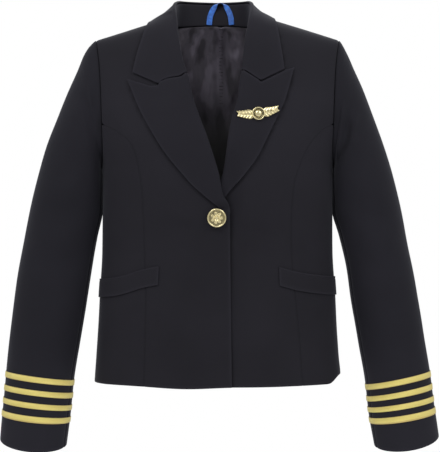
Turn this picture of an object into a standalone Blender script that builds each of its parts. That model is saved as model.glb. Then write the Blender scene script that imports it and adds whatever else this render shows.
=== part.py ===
"""Fitted blazer with peak lapels, filled out and hollow, as cloth walls.

The frame: metres, +Z up, the front faces -Y, and the origin lies between the shoulders at
the height of the neck seam. "Right" and "left" are the wearer's, so the right half lies
at -X. The tables are in millimetres. "Out" is the distance from the centre plane towards
the piece's own side, "up" the height, and "back" the distance along +Y.
"""

import math
from collections import namedtuple

import bmesh
import bpy
import numpy as np
from mathutils import Matrix, Vector

MM = 0.001
CLOTH = 2.0
SEAM = 0.5
LINING = 1.0
BRAID = 1.0
RIGHT = -1
LEFT = 1
SIDES = ((RIGHT, "right"), (LEFT, "left"))

# Torso: each section is |y/depth|^n = (1 - |x/half_width|^n) * (1 - rise^n)
ROUNDNESS = 2.3
CHEST_UP = -150.0
SHOULDER_TIP_OUT = 192.0
SHOULDER_TIP_UP = -26.5
SHOULDER_SLOPE = 0.31
HEM_UP = -572.0
UNDERARM_UP = -234.0
PRINCESS_TOP_UP = -164.0

BodyRow = namedtuple("BodyRow", "up half_width front_depth back_depth")
BODY = [
    BodyRow(-570, 196.5, 106, 105),
    BodyRow(-490, 191.0, 103, 102),
    BodyRow(-440, 188.5, 98, 94),
    BodyRow(-362, 184.0, 91, 78),
    BodyRow(-300, 184.0, 98, 82),
    BodyRow(-234, 184.0, 110, 91),
    BodyRow(-190, 196.0, 113, 95),
    BodyRow(-145, 208.0, 109, 97),
    BodyRow(-90, 214.0, 103, 95),
    BodyRow(-30, 216.0, 98, 92),
    BodyRow(40, 217.0, 94, 88),
]

LineRow = namedtuple("LineRow", "up right left")
ARMHOLE = [
    LineRow(-234, 184.0, 184.0),
    LineRow(-226, 182.8, 182.8),
    LineRow(-200, 181.0, 181.2),
    LineRow(-146, 181.8, 182.6),
    LineRow(-77, 185.5, 186.0),
    LineRow(-31, 192.0, 192.0),
    LineRow(10, 198.0, 198.0),
]
PRINCESS = [
    LineRow(-570, 114.0, 133.0),
    LineRow(-500, 112.5, 127.5),
    LineRow(-438, 111.6, 122.0),
    LineRow(-384, 113.5, 117.0),
    LineRow(-330, 115.0, 115.0),
    LineRow(-262, 118.0, 119.0),
    LineRow(-225, 124.0, 130.0),
    LineRow(-205, 130.0, 139.0),
    LineRow(-192, 137.0, 147.0),
    LineRow(-180, 150.0, 157.0),
    LineRow(-171, 166.0, 167.5),
    LineRow(-164, 181.0, 181.0),
]

# The line along which lapel and collar turn back, then the closed front edge below it
BREAK_UP = -292.0
ROLL = [
    LineRow(-570, -22.5, -20.0),
    LineRow(-330, -19.5, -20.0),
    LineRow(-300, -19.0, -20.0),
    LineRow(-290, -17.0, -17.0),
    LineRow(-276, -9.0, -9.0),
    LineRow(-243, -2.3, 8.5),
    LineRow(-186, 15.5, 16.5),
    LineRow(-165, 23.5, 20.3),
    LineRow(-124, 38.0, 31.3),
    LineRow(-96, 44.0, 34.7),
    LineRow(-81, 47.5, 38.0),
    LineRow(-50, 57.0, 40.6),
    LineRow(-8, 62.3, 47.0),
    LineRow(12, 66.6, 54.6),
    LineRow(30, 68.0, 57.0),
]
# How far the turned edge reaches past the edge of the wall that it is folded round
ROLL_REACH = 4.4
# Heights between which that reach grows from the break, and the edge runs into the neck point
REACH_GROWS = (-296.0, -262.0)
EDGE_JOINS_NECK = (-12.0, 10.0)
NECK_POINT = {RIGHT: 71.0, LEFT: 59.0}
NECK_BACK_UP = 4.0

LAPEL_OUTER = {
    RIGHT: [(-296, -2.0), (-293.3, -1.2), (-285.6, 8.2), (-272.6, 23.7), (-257.1, 40.9),
            (-243.4, 52.9), (-229.7, 64.8), (-207.3, 82.2), (-186, 95.9), (-146, 118.3),
            (-96, 140.0)],
    LEFT: [(-296, -2.0), (-279, 12.0), (-265.8, 22.7), (-252, 34.8), (-241, 43.5),
           (-231.4, 50.3), (-221, 58.2), (-159, 89.7), (-128, 104.2), (-80, 119.2)],
}
# The top edge of each lapel, from the roll line along the gorge seam and the notch to the peak
LAPEL_TOP = {
    RIGHT: [(0.0, -87.6), (0.07, -92.4), (0.32, -95.2), (0.46, -100.5), (0.475, -105.8),
            (0.61, -106.6), (1.0, -94.5)],
    LEFT: [(0.0, -83.6), (0.32, -97.6), (0.345, -101.5), (0.84, -80.5), (1.0, -76.6)],
}
LAPEL_TOP_BASE = {RIGHT: -96.0, LEFT: -80.0}
LAPEL_BEND_FROM = -132.0
LAPEL_ROWS = [-292, -286, -279, -270, -258, -243, -222, -200, -178, -156, -140, -130, -120, -110]
LAST_ROW_BELOW_TOP = 6.0
LAPEL_SHARES = [0.07, 0.16, 0.32, 0.46, 0.48, 0.61, 0.8, 1.0]
# The fold is flatter at the break and full from a little above it
FLAT_SHARE = 0.45
FOLD_GROWS = (-290.0, -235.0)
LEAF_LIFT = 1.2
LEAF_ROLL = 2.0
LEAF_SLACK = 0.03

# Collar stations from the notch to the centre back: the fold that the fall turns over, and
# the fall's outer edge. A back of None lies on the torso.
CollarRow = namedtuple("CollarRow", "fold_out fold_back fold_up edge_out edge_back edge_up")
COLLAR = {
    RIGHT: [
        CollarRow(51.0, None, -86.0, 132.0, None, -84.5),
        CollarRow(58.5, None, -62.0, 126.5, None, -60.0),
        CollarRow(63.5, None, -36.0, 119.5, None, -35.0),
        CollarRow(66.7, None, -8.0, 113.5, None, -15.0),
        CollarRow(68.0, -20.0, 18.0, 106.5, 0.0, 2.2),
        CollarRow(66.0, 12.0, 32.0, 98.0, 33.0, -3.0),
        CollarRow(59.0, 37.0, 36.5, 80.0, 56.0, -13.0),
        CollarRow(38.0, 56.0, 37.0, 46.0, 70.0, -18.0),
        CollarRow(0.0, 64.0, 36.5, 0.0, 76.0, -20.0),
    ],
    LEFT: [
        CollarRow(41.5, None, -82.0, 104.0, None, -79.5),
        CollarRow(44.0, None, -60.0, 101.0, None, -58.0),
        CollarRow(46.0, None, -36.0, 97.5, None, -35.0),
        CollarRow(51.4, None, -8.0, 94.0, None, -14.0),
        CollarRow(54.0, -20.0, 18.0, 88.0, 0.0, 8.2),
        CollarRow(53.0, 12.0, 32.0, 81.5, 32.0, 1.0),
        CollarRow(47.5, 37.0, 36.5, 67.0, 56.0, -10.0),
        CollarRow(31.0, 56.0, 37.0, 38.0, 70.0, -18.0),
        CollarRow(0.0, 64.0, 36.5, 0.0, 76.0, -20.0),
    ],
}
COLLAR_END = {
    RIGHT: [(0.0, 0.0), (0.07, -5.6), (0.30, -8.6), (0.46, -13.5), (0.48, -18.5), (1.0, 0.0)],
    LEFT: [(0.0, 0.0), (0.30, -13.0), (0.40, -17.5), (1.0, 0.0)],
}
STATIONS_PER_ROW = 2
STAND_FROM = 3.5
STAND_GAP = 0.8
STAND_TOP_UP = 36.5
# The neck edge of the front by station, and the station at the neck point
FRONT_NECK = [(3.0, -8.0), (4.0, 4.0), (4.6, 9.5)]
NECK_POINT_STATION = 4.6
NECK_ROUNDNESS = 0.7
COLLAR_BULGE = 2.2
COLLAR_SHARES = [0.06, 0.16, 0.30, 0.46, 0.64, 0.82, 1.0]
# Stations between which the fold turns upright, the fall leaves the front, and its end fades
FOLD_TURNS_UP = (2.6, 4.6)
FALL_LEAVES_FRONT = (3.0, 4.0)
END_FADES = (0.0, 2.0)

# Profile of a turned edge on the side that faces the wall: past the wall's edge, and lift
TURN = [(1.4, 0.1), (2.2, 0.5), (2.6, 1.5), (1.9, 2.7), (0.2, 3.2)]

# Sleeve rings: the outer and the inner point of each in the front view, its depth each way,
# how far its centre lies back, and how far its front dips
SleeveRow = namedtuple("SleeveRow", "outer_out outer_up inner_out inner_up depth back dip")
SLEEVE = {
    RIGHT: [
        SleeveRow(206.0, -37.4, 184.8, -240.0, 55.5, 2.0, 0.0),
        SleeveRow(214.0, -51.0, 184.6, -250.0, 56.5, 2.0, 0.0),
        SleeveRow(223.5, -73.6, 184.5, -261.0, 57.5, 2.0, 0.0),
        SleeveRow(238.0, -105.6, 184.5, -272.0, 58.5, 2.0, 0.0),
        SleeveRow(256.8, -153.6, 184.5, -286.0, 59.0, 3.0, 0.0),
        SleeveRow(276.0, -201.6, 184.6, -302.0, 59.0, 4.0, 0.0),
        SleeveRow(297.0, -281.6, 192.0, -340.0, 57.5, 5.0, 0.0),
        SleeveRow(310.0, -345.6, 200.0, -388.0, 55.0, 4.0, 0.0),
        SleeveRow(321.0, -409.6, 208.5, -440.0, 52.0, 1.0, 0.0),
        SleeveRow(330.5, -489.6, 219.0, -508.0, 49.0, -5.0, 0.0),
        SleeveRow(336.8, -553.6, 228.3, -568.0, 46.5, -11.0, 0.0),
        SleeveRow(341.3, -610.0, 233.8, -622.0, 45.0, -16.0, 2.0),
        SleeveRow(345.2, -662.5, 239.8, -662.5, 43.5, -20.0, 13.0),
    ],
    LEFT: [
        SleeveRow(202.0, -37.4, 184.8, -240.0, 55.5, 2.0, 0.0),
        SleeveRow(209.0, -51.0, 184.6, -250.0, 56.5, 2.0, 0.0),
        SleeveRow(218.5, -73.6, 184.5, -261.0, 57.5, 2.0, 0.0),
        SleeveRow(232.8, -105.6, 184.5, -272.0, 58.5, 2.0, 0.0),
        SleeveRow(251.0, -153.6, 184.5, -286.0, 59.0, 3.0, 0.0),
        SleeveRow(268.6, -201.6, 184.7, -302.0, 59.0, 4.0, 0.0),
        SleeveRow(290.4, -281.6, 195.0, -340.0, 57.5, 5.0, 0.0),
        SleeveRow(303.2, -345.6, 205.2, -384.0, 55.0, 4.0, 0.0),
        SleeveRow(316.0, -409.6, 213.2, -438.0, 52.0, 1.0, 0.0),
        SleeveRow(328.8, -489.6, 225.4, -508.0, 49.0, -5.0, 0.0),
        SleeveRow(338.4, -553.6, 236.0, -575.0, 46.5, -11.0, 0.0),
        SleeveRow(345.5, -610.0, 241.6, -627.0, 45.0, -16.0, 2.0),
        SleeveRow(352.2, -660.0, 249.2, -663.5, 43.5, -20.0, 13.0),
    ],
}
HEAD_LEAD = 3.0
HEAD_EASE = [0.8, 0.6, 0.4, 0.24, 0.1]
# Both sleeve seams, in degrees round the ring from its outer point over its front, half the
# gap left in each, and the narrow column beside it
FRONT_SEAM = 160.0
BACK_SEAM = 255.0
SEAM_DEGREES = 0.3
EDGE_DEGREES = 2.0
TOP_COLUMNS = 13
UNDER_COLUMNS = 5
BRAID_COUNT = 4
BRAID_STEPS = 24
BRAID_WIDTH = 8.6
# Height of the lowest braid's middle at the sleeve's outer point, and the pitch
BraidRow = namedtuple("BraidRow", "lowest_up pitch")
BRAIDS = {RIGHT: BraidRow(-618.3, 20.1), LEFT: BraidRow(-614.4, 18.9)}
BRAID_LIFT = 0.6

# Pocket welts: top edge and height against the distance out
WELT_TOP = {
    RIGHT: [(91.5, -385.7), (114.0, -390.3), (157.0, -403.5), (184.0, -407.0)],
    LEFT: [(96.4, -387.0), (124.0, -394.8), (168.0, -401.5), (184.0, -403.0)],
}
WELT_HEIGHT = 29.5
WELT_INNER = {RIGHT: 91.5, LEFT: 96.0}
WELT_LIFT = 0.6
WELT_END_TURN = 85.0
WELT_MIDDLE_UP = -400.0
WELT_COLUMNS = 10

# Left front where it passes under the right one
UNDERLAP_OUT = 46.0
UNDERLAP_IN = 18.0
UNDERLAP = [(-570, 3.2), (-350, 3.4), (-300, 8.5), (-240, 8.5), (-205, 0.0), (0, 0.0)]

BUTTON_OUT = -1.0
BUTTON_UP = -310.0
BUTTON_GAP = 0.4
# Turned profile of the button and its shank: radius, and height above the cloth
BUTTON = [(0.0, 0.0), (3.0, 0.0), (3.0, 2.5), (13.8, 2.7), (15.0, 3.5), (15.0, 4.7), (14.2, 5.6),
          (13.0, 5.7), (12.0, 5.2), (8.0, 6.6), (4.0, 7.4), (0.0, 7.7)]
BUTTON_STEPS = 24

PIN_OUT = 62.6
PIN_UP = -150.0
PIN_HALF_LENGTH = 31.5
PIN_TILT = 8.6
PIN_LIFT = 4.6
PIN_THICK = 1.6
PIN_STEM_HALF = 3.2
# How far both ends rise above the middle
PIN_RISE = 3.5
PIN_DISC_THICK = 3.0
PIN_LEAVES = 4
PIN_LEAF_STEPS = 6
PIN_LEAF_HALF = 8.4
PIN_LEAF_SHAPE = 0.7
PIN_DISC = 10.6
PIN_DISC_TOP = 9.8
PIN_DISC_SIDES = 32
PIN_DISC_SUNK = 0.2

# Half of the hanger loop from foot to top: distance from its middle, height, and how far the
# tape has turned from flat on the stand (0) to edge-on (1)
LOOP_CENTRE = 4.6
LoopRow = namedtuple("LoopRow", "half up turned")
LOOP = [
    LoopRow(18.0, 7.0, 0.0),
    LoopRow(17.2, 14.0, 0.0),
    LoopRow(15.4, 21.0, 0.03),
    LoopRow(12.4, 28.0, 0.14),
    LoopRow(9.2, 33.0, 0.36),
    LoopRow(6.0, 36.6, 0.7),
    LoopRow(3.0, 38.6, 0.95),
    LoopRow(0.0, 39.2, 1.0),
]
LOOP_WIDTH = 9.2
LOOP_THICK = 1.0
LOOP_GAP = 0.6
LOOP_FOOT_SETBACK = 1.0

LINING_GAP = 1.4
LINING_HEM_UP = -548.0
PLEAT_OUT = 5.7
PLEAT_DEPTH = 3.5
PLEAT_WIDTH = 5.0
PLEAT_END_UP = -150.0
PLEAT_FULL_UP = -20.0
PLEAT_COLUMN = 0.04
LINING_TURN = 74.0
LINING_BEFORE_ARMHOLE = 14.0
LINING_SHARES = [0.0, 0.2, 0.4, 0.56, 0.7, 0.81, 0.9, 0.96, 1.0]
LINING_ABOVE_NECK = 2.5
LINING_BELOW_SHOULDER = 18.0
LINING_HALF_COLUMNS = 5
# Where the lining's top leaves the neck for the shoulder, either side of the neck point
LINING_TOP_TURNS = (-16.0, 25.0)

# Rows of the panels: fixed heights below the chest, shares of a quarter turn above it. The
# narrow column beside each seam, and how the back's columns spread below the neck.
EDGE_COLUMN = 0.015
FRONT_COLUMNS = 8
SIDE_COLUMNS = 5
BACK_COLUMNS = 9
BACK_SPREAD = 0.15
BACK_SPREADS = (0.0, -400.0)
LOW_ROWS = [HEM_UP, -530, -490, -450, -410, -370, -330, -296, -284, -270, -256, -243, -233.6, -228,
            -220, -208, -196, -184, -171.5, -168, -165.4]
SIDE_ROWS = [row for row in LOW_ROWS if row <= -168]
TOP_ANGLES = [0, 14, 28, 42, 54, 64, 73, 80, 86, 88.7, 90]

CLOTH_COLOUR = (0.022, 0.021, 0.028)
COLLAR_COLOUR = (0.026, 0.025, 0.033)
LINING_COLOUR = (0.060, 0.054, 0.062)
GOLD_BRAID_COLOUR = (0.70, 0.52, 0.16)
GILT_COLOUR = (0.80, 0.66, 0.30)
TAPE_COLOUR = (0.06, 0.17, 0.62)


def through(stations, values, at):
    """Smooth curve through a table that never overshoots its rows (monotone cubic)."""
    x = np.asarray(stations, float)
    y = np.asarray(values, float)
    at = float(min(max(at, x[0]), x[-1]))
    step = np.diff(x)
    rise = np.diff(y) / step
    slope = np.zeros(len(x))
    for i in range(1, len(x) - 1):
        if rise[i - 1] * rise[i] > 0:
            slope[i] = 2 * rise[i - 1] * rise[i] / (rise[i - 1] + rise[i])
    slope[0] = rise[0]
    slope[-1] = rise[-1]
    i = int(min(np.searchsorted(x, at, side="right") - 1, len(x) - 2))
    t = (at - x[i]) / step[i]
    a = (1 + 2 * t) * (1 - t) ** 2 * y[i] + t * (1 - t) ** 2 * step[i] * slope[i]
    b = t * t * (3 - 2 * t) * y[i + 1] - t * t * (1 - t) * step[i] * slope[i + 1]
    return a + b


def straight(points, at):
    """Broken line through (station, value) pairs."""
    return float(np.interp(at, [p[0] for p in points], [p[1] for p in points]))


def smooth_step(low, high, at):
    t = min(max((at - low) / (high - low), 0.0), 1.0)
    return t * t * (3 - 2 * t)


def body_size(up, column):
    return through([r.up for r in BODY], [getattr(r, column) for r in BODY], up)


def line(rows, side, up):
    column = "right" if side == RIGHT else "left"
    return through([r.up for r in rows], [getattr(r, column) for r in rows], up)


def shoulder_up(out):
    return SHOULDER_TIP_UP + SHOULDER_SLOPE * (SHOULDER_TIP_OUT - abs(out))


def rise_share(out, up):
    return max((up - CHEST_UP) / (shoulder_up(out) - CHEST_UP), 0.0)


def level(p):
    """Below zero inside the torso and above it outside."""
    x, y, z = p
    width = body_size(z, "half_width")
    depth = body_size(z, "front_depth" if y < 0 else "back_depth")
    side = 1 - abs(x / width) ** ROUNDNESS
    top = 1 - rise_share(x, z) ** ROUNDNESS
    if side < 0 and top < 0:
        top = -top
    return abs(y / depth) ** ROUNDNESS - side * top


def gradient(p):
    step = 0.5
    out = np.zeros(3)
    for axis in range(3):
        ahead = np.array(p, float)
        behind = np.array(p, float)
        ahead[axis] += step
        behind[axis] -= step
        out[axis] = (level(ahead) - level(behind)) / (2 * step)
    return out


def outward(p):
    g = gradient(p)
    return g / np.linalg.norm(g)


def on_body(out, up, face):
    """Point of the torso's surface on the front (face -1) or the back (face 1)."""
    width = body_size(up, "half_width")
    depth = body_size(up, "front_depth" if face < 0 else "back_depth")
    side = max(1 - abs(out / width) ** ROUNDNESS, 0.0)
    top = max(1 - rise_share(out, up) ** ROUNDNESS, 0.0)
    back = depth * (side * top) ** (1 / ROUNDNESS)
    return np.array([out, face * max(back, SEAM / 2), up])


def lifted(out, up, face, lift):
    p = on_body(out, up, face)
    return p + outward(p) * lift


def clear_of_body(p, least):
    """The point moved out along the surface's normal until it is at least this far from it."""
    p = np.array(p, float)
    for _ in range(6):
        g = gradient(p)
        size = np.linalg.norm(g)
        gap = level(p) / size
        if gap < least:
            p = p + g / size * (least - gap)
    return p


def turn_of(out, up):
    """Angle across a section, 0 at the centre and a quarter turn at the side."""
    share = min(abs(out) / body_size(up, "half_width"), 1.0)
    return math.copysign(math.asin(share ** (ROUNDNESS / 2)), out)


def out_of(turn, up):
    size = body_size(up, "half_width")
    return math.copysign(size * abs(math.sin(turn)) ** (2 / ROUNDNESS), turn)


def roll_edge(side, up):
    """The wall's own edge: behind the visible fold above the break, and on it below."""
    edge = line(ROLL, side, up) + ROLL_REACH * smooth_step(*REACH_GROWS, up)
    blend = smooth_step(*EDGE_JOINS_NECK, up)
    return edge * (1 - blend) + NECK_POINT[side] * blend


def underlap(side, x, up):
    """How far the left front is sunk where the right one covers it."""
    if side == RIGHT:
        return 0.0
    return straight(UNDERLAP, up) * (1 - smooth_step(UNDERLAP_IN, UNDERLAP_OUT, x))


def front_point(side, out, up, lift=0.0):
    p = on_body(side * out, up, -1)
    return p + outward(p) * (lift - underlap(side, side * out, up))


def side_limit(side, up):
    if up <= UNDERARM_UP:
        return body_size(up, "half_width")
    return line(ARMHOLE, side, up) - SEAM / 2


def panel_out(side, inner, outer, u, up):
    first = turn_of(inner(up), up)
    last = turn_of(outer(up), up)
    return out_of(first + (last - first) * u, up)


def top_rows(side, inner, outer, u, top_of):
    """(out, up) pairs of a column above the chest, up to the shoulder seam or the neck."""
    found = []
    for angle in TOP_ANGLES:
        share = math.sin(math.radians(angle)) ** (2 / ROUNDNESS)
        up = CHEST_UP
        for _ in range(8):
            out = panel_out(side, inner, outer, u, up)
            up = CHEST_UP + (top_of(out) - CHEST_UP) * share
        found.append((out, up))
    return found


def new_object(name, mesh, colour, metallic, roughness):
    material = bpy.data.materials.new(name)
    material.use_nodes = True
    shader = material.node_tree.nodes["Principled BSDF"]
    shader.inputs["Base Color"].default_value = (*colour, 1)
    shader.inputs["Metallic"].default_value = metallic
    shader.inputs["Roughness"].default_value = roughness
    mesh.materials.append(material)
    obj = bpy.data.objects.new(name, mesh)
    bpy.data.collections["Fitted blazer"].objects.link(obj)
    return obj


def cloth(name, rows, towards, thickness=CLOTH, colour=CLOTH_COLOUR, closed=False, metallic=0.0,
          roughness=0.85):
    """A grid shaped by rows of points in mm, thickened towards the given side of its middle."""
    across = len(rows[0])
    bm = bmesh.new()
    bmesh.ops.create_grid(bm, x_segments=across - 1, y_segments=len(rows) - 1, size=1)
    for vertex in bm.verts:
        column = round((vertex.co.x + 1) / 2 * (across - 1))
        row = round((vertex.co.y + 1) / 2 * (len(rows) - 1))
        vertex.co = np.asarray(rows[row][column], float) * MM
    if closed:
        bmesh.ops.remove_doubles(bm, verts=bm.verts, dist=0.01 * MM)
    bmesh.ops.recalc_face_normals(bm, faces=bm.faces)
    bm.normal_update()
    bm.faces.ensure_lookup_table()
    facing = sum(f.normal.dot(towards(f.calc_center_median() / MM)) * f.calc_area()
                 for f in bm.faces)
    if facing < 0:
        bmesh.ops.reverse_faces(bm, faces=bm.faces)
    mesh = bpy.data.meshes.new(name)
    bm.to_mesh(mesh)
    bm.free()
    mesh.shade_smooth()
    obj = new_object(name, mesh, colour, metallic, roughness)
    wall = obj.modifiers.new("Wall", "SOLIDIFY")
    wall.thickness = thickness * MM
    wall.offset = 1
    wall.use_even_offset = True
    return obj


def from_body(sign):
    """Direction for the wall: 1 away from the torso's inside, -1 towards it."""
    def direction(p):
        return tuple(sign * outward(p))
    return direction


def make_front(side, name):
    def inner(up):
        return roll_edge(side, up)

    def outer(up):
        if up < PRINCESS_TOP_UP:
            return line(PRINCESS, side, up) - SEAM / 2
        return line(ARMHOLE, side, up) - SEAM / 2

    shares = crowded(FRONT_COLUMNS)
    rows = [[front_point(side, panel_out(side, inner, outer, u, up), up) for u in shares]
            for up in LOW_ROWS]
    grid = [top_rows(side, inner, outer, u, shoulder_up) for u in shares]
    for i in range(len(TOP_ANGLES)):
        rows.append([front_point(side, *column[i]) for column in grid])
    cloth("front_" + name, rows, from_body(-1))


def make_side_front(side, name):
    def inner(up):
        return line(PRINCESS, side, up) + SEAM / 2

    def outer(up):
        return side_limit(side, up)

    shares = crowded(SIDE_COLUMNS)
    rows = [[on_body(side * panel_out(side, inner, outer, u, up), up, -1) for u in shares]
            for up in SIDE_ROWS]
    cloth("side_front_" + name, rows, from_body(-1))


def make_back(side, name):
    neck = NECK_POINT[side]

    def inner(up):
        return SEAM

    def outer(up):
        return side_limit(side, up)

    def top_of(out):
        if out >= neck:
            return shoulder_up(out)
        return back_neck_up(side, out)

    def split(u, up):
        """Columns crowd towards the neck point."""
        middle = neck * (1 + BACK_SPREAD * smooth_step(*BACK_SPREADS, up))
        if u <= 0.5:
            first, last, share = turn_of(inner(up), up), turn_of(middle, up), u * 2
            share = math.sin(share * math.pi / 2)
        else:
            first, last, share = turn_of(middle, up), turn_of(outer(up), up), u * 2 - 1
        return out_of(first + (last - first) * share, up)

    shares = crowded(BACK_COLUMNS)
    rows = []
    for up in LOW_ROWS:
        rows.append([on_body(side * split(u, up), up, 1) for u in shares])
    for angle in TOP_ANGLES:
        share = math.sin(math.radians(angle)) ** (2 / ROUNDNESS)
        row = []
        for u in shares:
            up = CHEST_UP
            for _ in range(8):
                out = split(u, up)
                up = CHEST_UP + (top_of(out) - CHEST_UP) * share
            row.append(on_body(side * out, up, 1))
        rows.append(row)
    cloth("back_" + name, rows, from_body(-1))


def leaf_lift(share, strength=1.0):
    """Height of a turned leaf's hidden side over the wall, from its fold to its free edge."""
    return LEAF_LIFT + LEAF_ROLL * strength * (1 - share) ** 1.5


def lapel_outer(side, up):
    table = LAPEL_OUTER[side]
    return through([p[0] for p in table], [p[1] for p in table], up)


def lapel_up(side, share, row_up):
    """Height of a lapel's point: its row's height, bent towards the gorge near the top."""
    base = LAPEL_TOP_BASE[side]
    bend = smooth_step(LAPEL_BEND_FROM, base, row_up)
    return row_up + (straight(LAPEL_TOP[side], share) - base) * bend


def make_lapel(side, name):
    base = LAPEL_TOP_BASE[side]
    ups = [up for up in LAPEL_ROWS if up < base - LAST_ROW_BELOW_TOP] + [base]
    rows = []
    for row_up in ups:
        strength = FLAT_SHARE + (1 - FLAT_SHARE) * smooth_step(*FOLD_GROWS, row_up)
        row = []
        fold_up = lapel_up(side, 0, row_up)
        edge = roll_edge(side, fold_up)
        for past, lift in TURN:
            row.append(front_point(side, edge - past, fold_up, lift * strength))
        for share in LAPEL_SHARES:
            up = lapel_up(side, share, row_up)
            start = roll_edge(side, up)
            out = start + (lapel_outer(side, row_up) - start) * share
            row.append(front_point(side, out, up, leaf_lift(share, strength)))
        rows.append(row)
    cloth("lapel_" + name, rows, from_body(1), colour=COLLAR_COLOUR)


def collar_row(side, at):
    """Fold and outer edge of the collar at a station counted in table rows."""
    table = COLLAR[side]
    columns = {}
    for column in CollarRow._fields:
        values = []
        for row in table:
            value = getattr(row, column)
            if value is None:
                out, up = ((row.fold_out, row.fold_up) if column == "fold_back"
                           else (row.edge_out, row.edge_up))
                value = on_body(out, up, -1)[1]
            values.append(value)
        columns[column] = through(range(len(table)), values, at)
    fold = np.array([side * columns["fold_out"], columns["fold_back"], columns["fold_up"]])
    edge = np.array([side * columns["edge_out"], columns["edge_back"], columns["edge_up"]])
    return fold, edge


def crowded(columns):
    """Shares across a panel, with a narrow column at each seam."""
    inner = [c / columns for c in range(1, columns)]
    return [0.0, EDGE_COLUMN] + inner + [1 - EDGE_COLUMN, 1.0]


def seam_below(side, at):
    """Where the stand is sewn on, on the neck edge of the front and then of the back."""
    neck = NECK_POINT[side]
    if at <= NECK_POINT_STATION:
        up = straight(FRONT_NECK, at)
        point = on_body(side * roll_edge(side, up), up, -1)
    else:
        around = (at - NECK_POINT_STATION) / (len(COLLAR[side]) - 1 - NECK_POINT_STATION)
        out = neck * max(math.cos(around * math.pi / 2), 0.0) ** NECK_ROUNDNESS
        point = on_body(side * out, back_neck_up(side, out), 1)
    return point + np.array([-side * STAND_GAP, 0, STAND_GAP])


def back_neck_up(side, out):
    neck = NECK_POINT[side]
    return NECK_BACK_UP + (shoulder_up(neck) - NECK_BACK_UP) * (out / neck) ** 4


def stations(first):
    """(side, station) pairs round the neck, from the right end to the left one."""
    last = (len(COLLAR[RIGHT]) - 1) * STATIONS_PER_ROW
    begin = round(first * STATIONS_PER_ROW)
    right = [(RIGHT, i / STATIONS_PER_ROW) for i in range(begin, last + 1)]
    left = [(LEFT, i / STATIONS_PER_ROW) for i in range(last - 1, begin - 1, -1)]
    return right + left


def turned_frame(side, at, fold):
    """Direction past the fold and direction of the lift, at a station."""
    up_share = smooth_step(*FOLD_TURNS_UP, at)
    normal = outward(fold)
    past = np.array([-side * (1 - up_share), 0.0, up_share])
    past = past - normal * past.dot(normal) * (1 - up_share)
    past = past / np.linalg.norm(past)
    lift = normal - past * normal.dot(past)
    return past, lift / np.linalg.norm(lift)


def make_collar():
    rows = []
    for side, at in stations(0):
        fold, edge = collar_row(side, at)
        past, lift = turned_frame(side, at, fold)
        row = [fold + past * p + lift * h for p, h in TURN]
        start = fold + lift * TURN[-1][1]
        free = smooth_step(*FALL_LEAVES_FRONT, at)
        end = 1 - smooth_step(*END_FADES, at)
        for share in COLLAR_SHARES:
            out = abs(fold[0]) + (abs(edge[0]) - abs(fold[0])) * share
            up = fold[2] + (edge[2] - fold[2]) * share + straight(COLLAR_END[side], share) * end
            flat = lifted(side * out, min(up, shoulder_up(out)), -1, leaf_lift(share))
            chord = start + (edge - start) * share
            chord = chord + lift * COLLAR_BULGE * math.sin(math.pi * share)
            point = flat * (1 - free) + chord * free
            row.append(clear_of_body(point, leaf_lift(share) - LEAF_SLACK))
        rows.append(row)
    cloth("collar", rows, from_body(1), colour=COLLAR_COLOUR)


def make_stand():
    rows = []
    for side, at in stations(STAND_FROM):
        fold, _ = collar_row(side, at)
        foot = seam_below(side, at)
        rows.append([foot, foot + (fold - foot) / 2, fold])

    def towards_neck(p):
        return (-p[0], -p[1], 0)

    cloth("collar_stand", rows, towards_neck)


def sleeve_row(side, at):
    """Table row of a sleeve at a fractional place, on the straight between two rows."""
    table = SLEEVE[side]
    i = min(int(at), len(table) - 2)
    t = at - i
    return SleeveRow(*[a + (b - a) * t for a, b in zip(table[i], table[i + 1])])


def sleeve_point(side, row, degrees, lift=0.0):
    angle = math.radians(degrees)
    reach = (row.outer_out - row.inner_out) / 2
    rise = (row.outer_up - row.inner_up) / 2
    grow = 1 + lift / math.hypot(reach, rise)
    out = (row.outer_out + row.inner_out) / 2 + reach * grow * math.cos(angle)
    up = (row.outer_up + row.inner_up) / 2 + rise * grow * math.cos(angle)
    back = row.back - (row.depth + lift) * math.sin(angle)
    return np.array([side * out, back, up - row.dip * max(math.sin(angle), 0)])


def armhole_point(side, degrees, beyond):
    angle = math.radians(degrees)
    middle = (SHOULDER_TIP_UP + UNDERARM_UP) / 2
    up = middle + (SHOULDER_TIP_UP - UNDERARM_UP) / 2 * math.cos(angle)
    out = line(ARMHOLE, side, up)
    face = -1 if math.sin(angle) > 0 else 1
    p = on_body(side * out, up, face)
    return p + np.array([side * (SEAM / 2 + beyond), 0, 0])


def sleeve_angles(first, last, count):
    step = (last - first) / count
    middle = [first + step * i for i in range(1, count)]
    return ([first + SEAM_DEGREES, first + EDGE_DEGREES] + middle
            + [last - EDGE_DEGREES, last - SEAM_DEGREES])


def make_sleeve(side, name):
    pieces = (("top_sleeve_", sleeve_angles(BACK_SEAM - 360, FRONT_SEAM, TOP_COLUMNS)),
              ("under_sleeve_", sleeve_angles(FRONT_SEAM, BACK_SEAM, UNDER_COLUMNS)))
    axis = [(np.array([side * (r.outer_out + r.inner_out) / 2, r.back,
                       (r.outer_up + r.inner_up) / 2])) for r in SLEEVE[side]]

    def inwards(p):
        nearest = min(axis, key=lambda c: np.linalg.norm(np.array(p) - c))
        return tuple(nearest - np.array(p))

    for piece, angles in pieces:
        rows = [[armhole_point(side, a, beyond) for a in angles] for beyond in (0.0, HEAD_LEAD)]
        drift = [armhole_point(side, a, 0.0)[1] - sleeve_point(side, SLEEVE[side][0], a)[1]
                 for a in angles]
        for i, row in enumerate(SLEEVE[side]):
            ease = HEAD_EASE[i] if i < len(HEAD_EASE) else 0.0
            rows.append([sleeve_point(side, row, a) + np.array([0, d * ease, 0])
                         for a, d in zip(angles, drift)])
        cloth(piece + name, rows, inwards)


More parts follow.
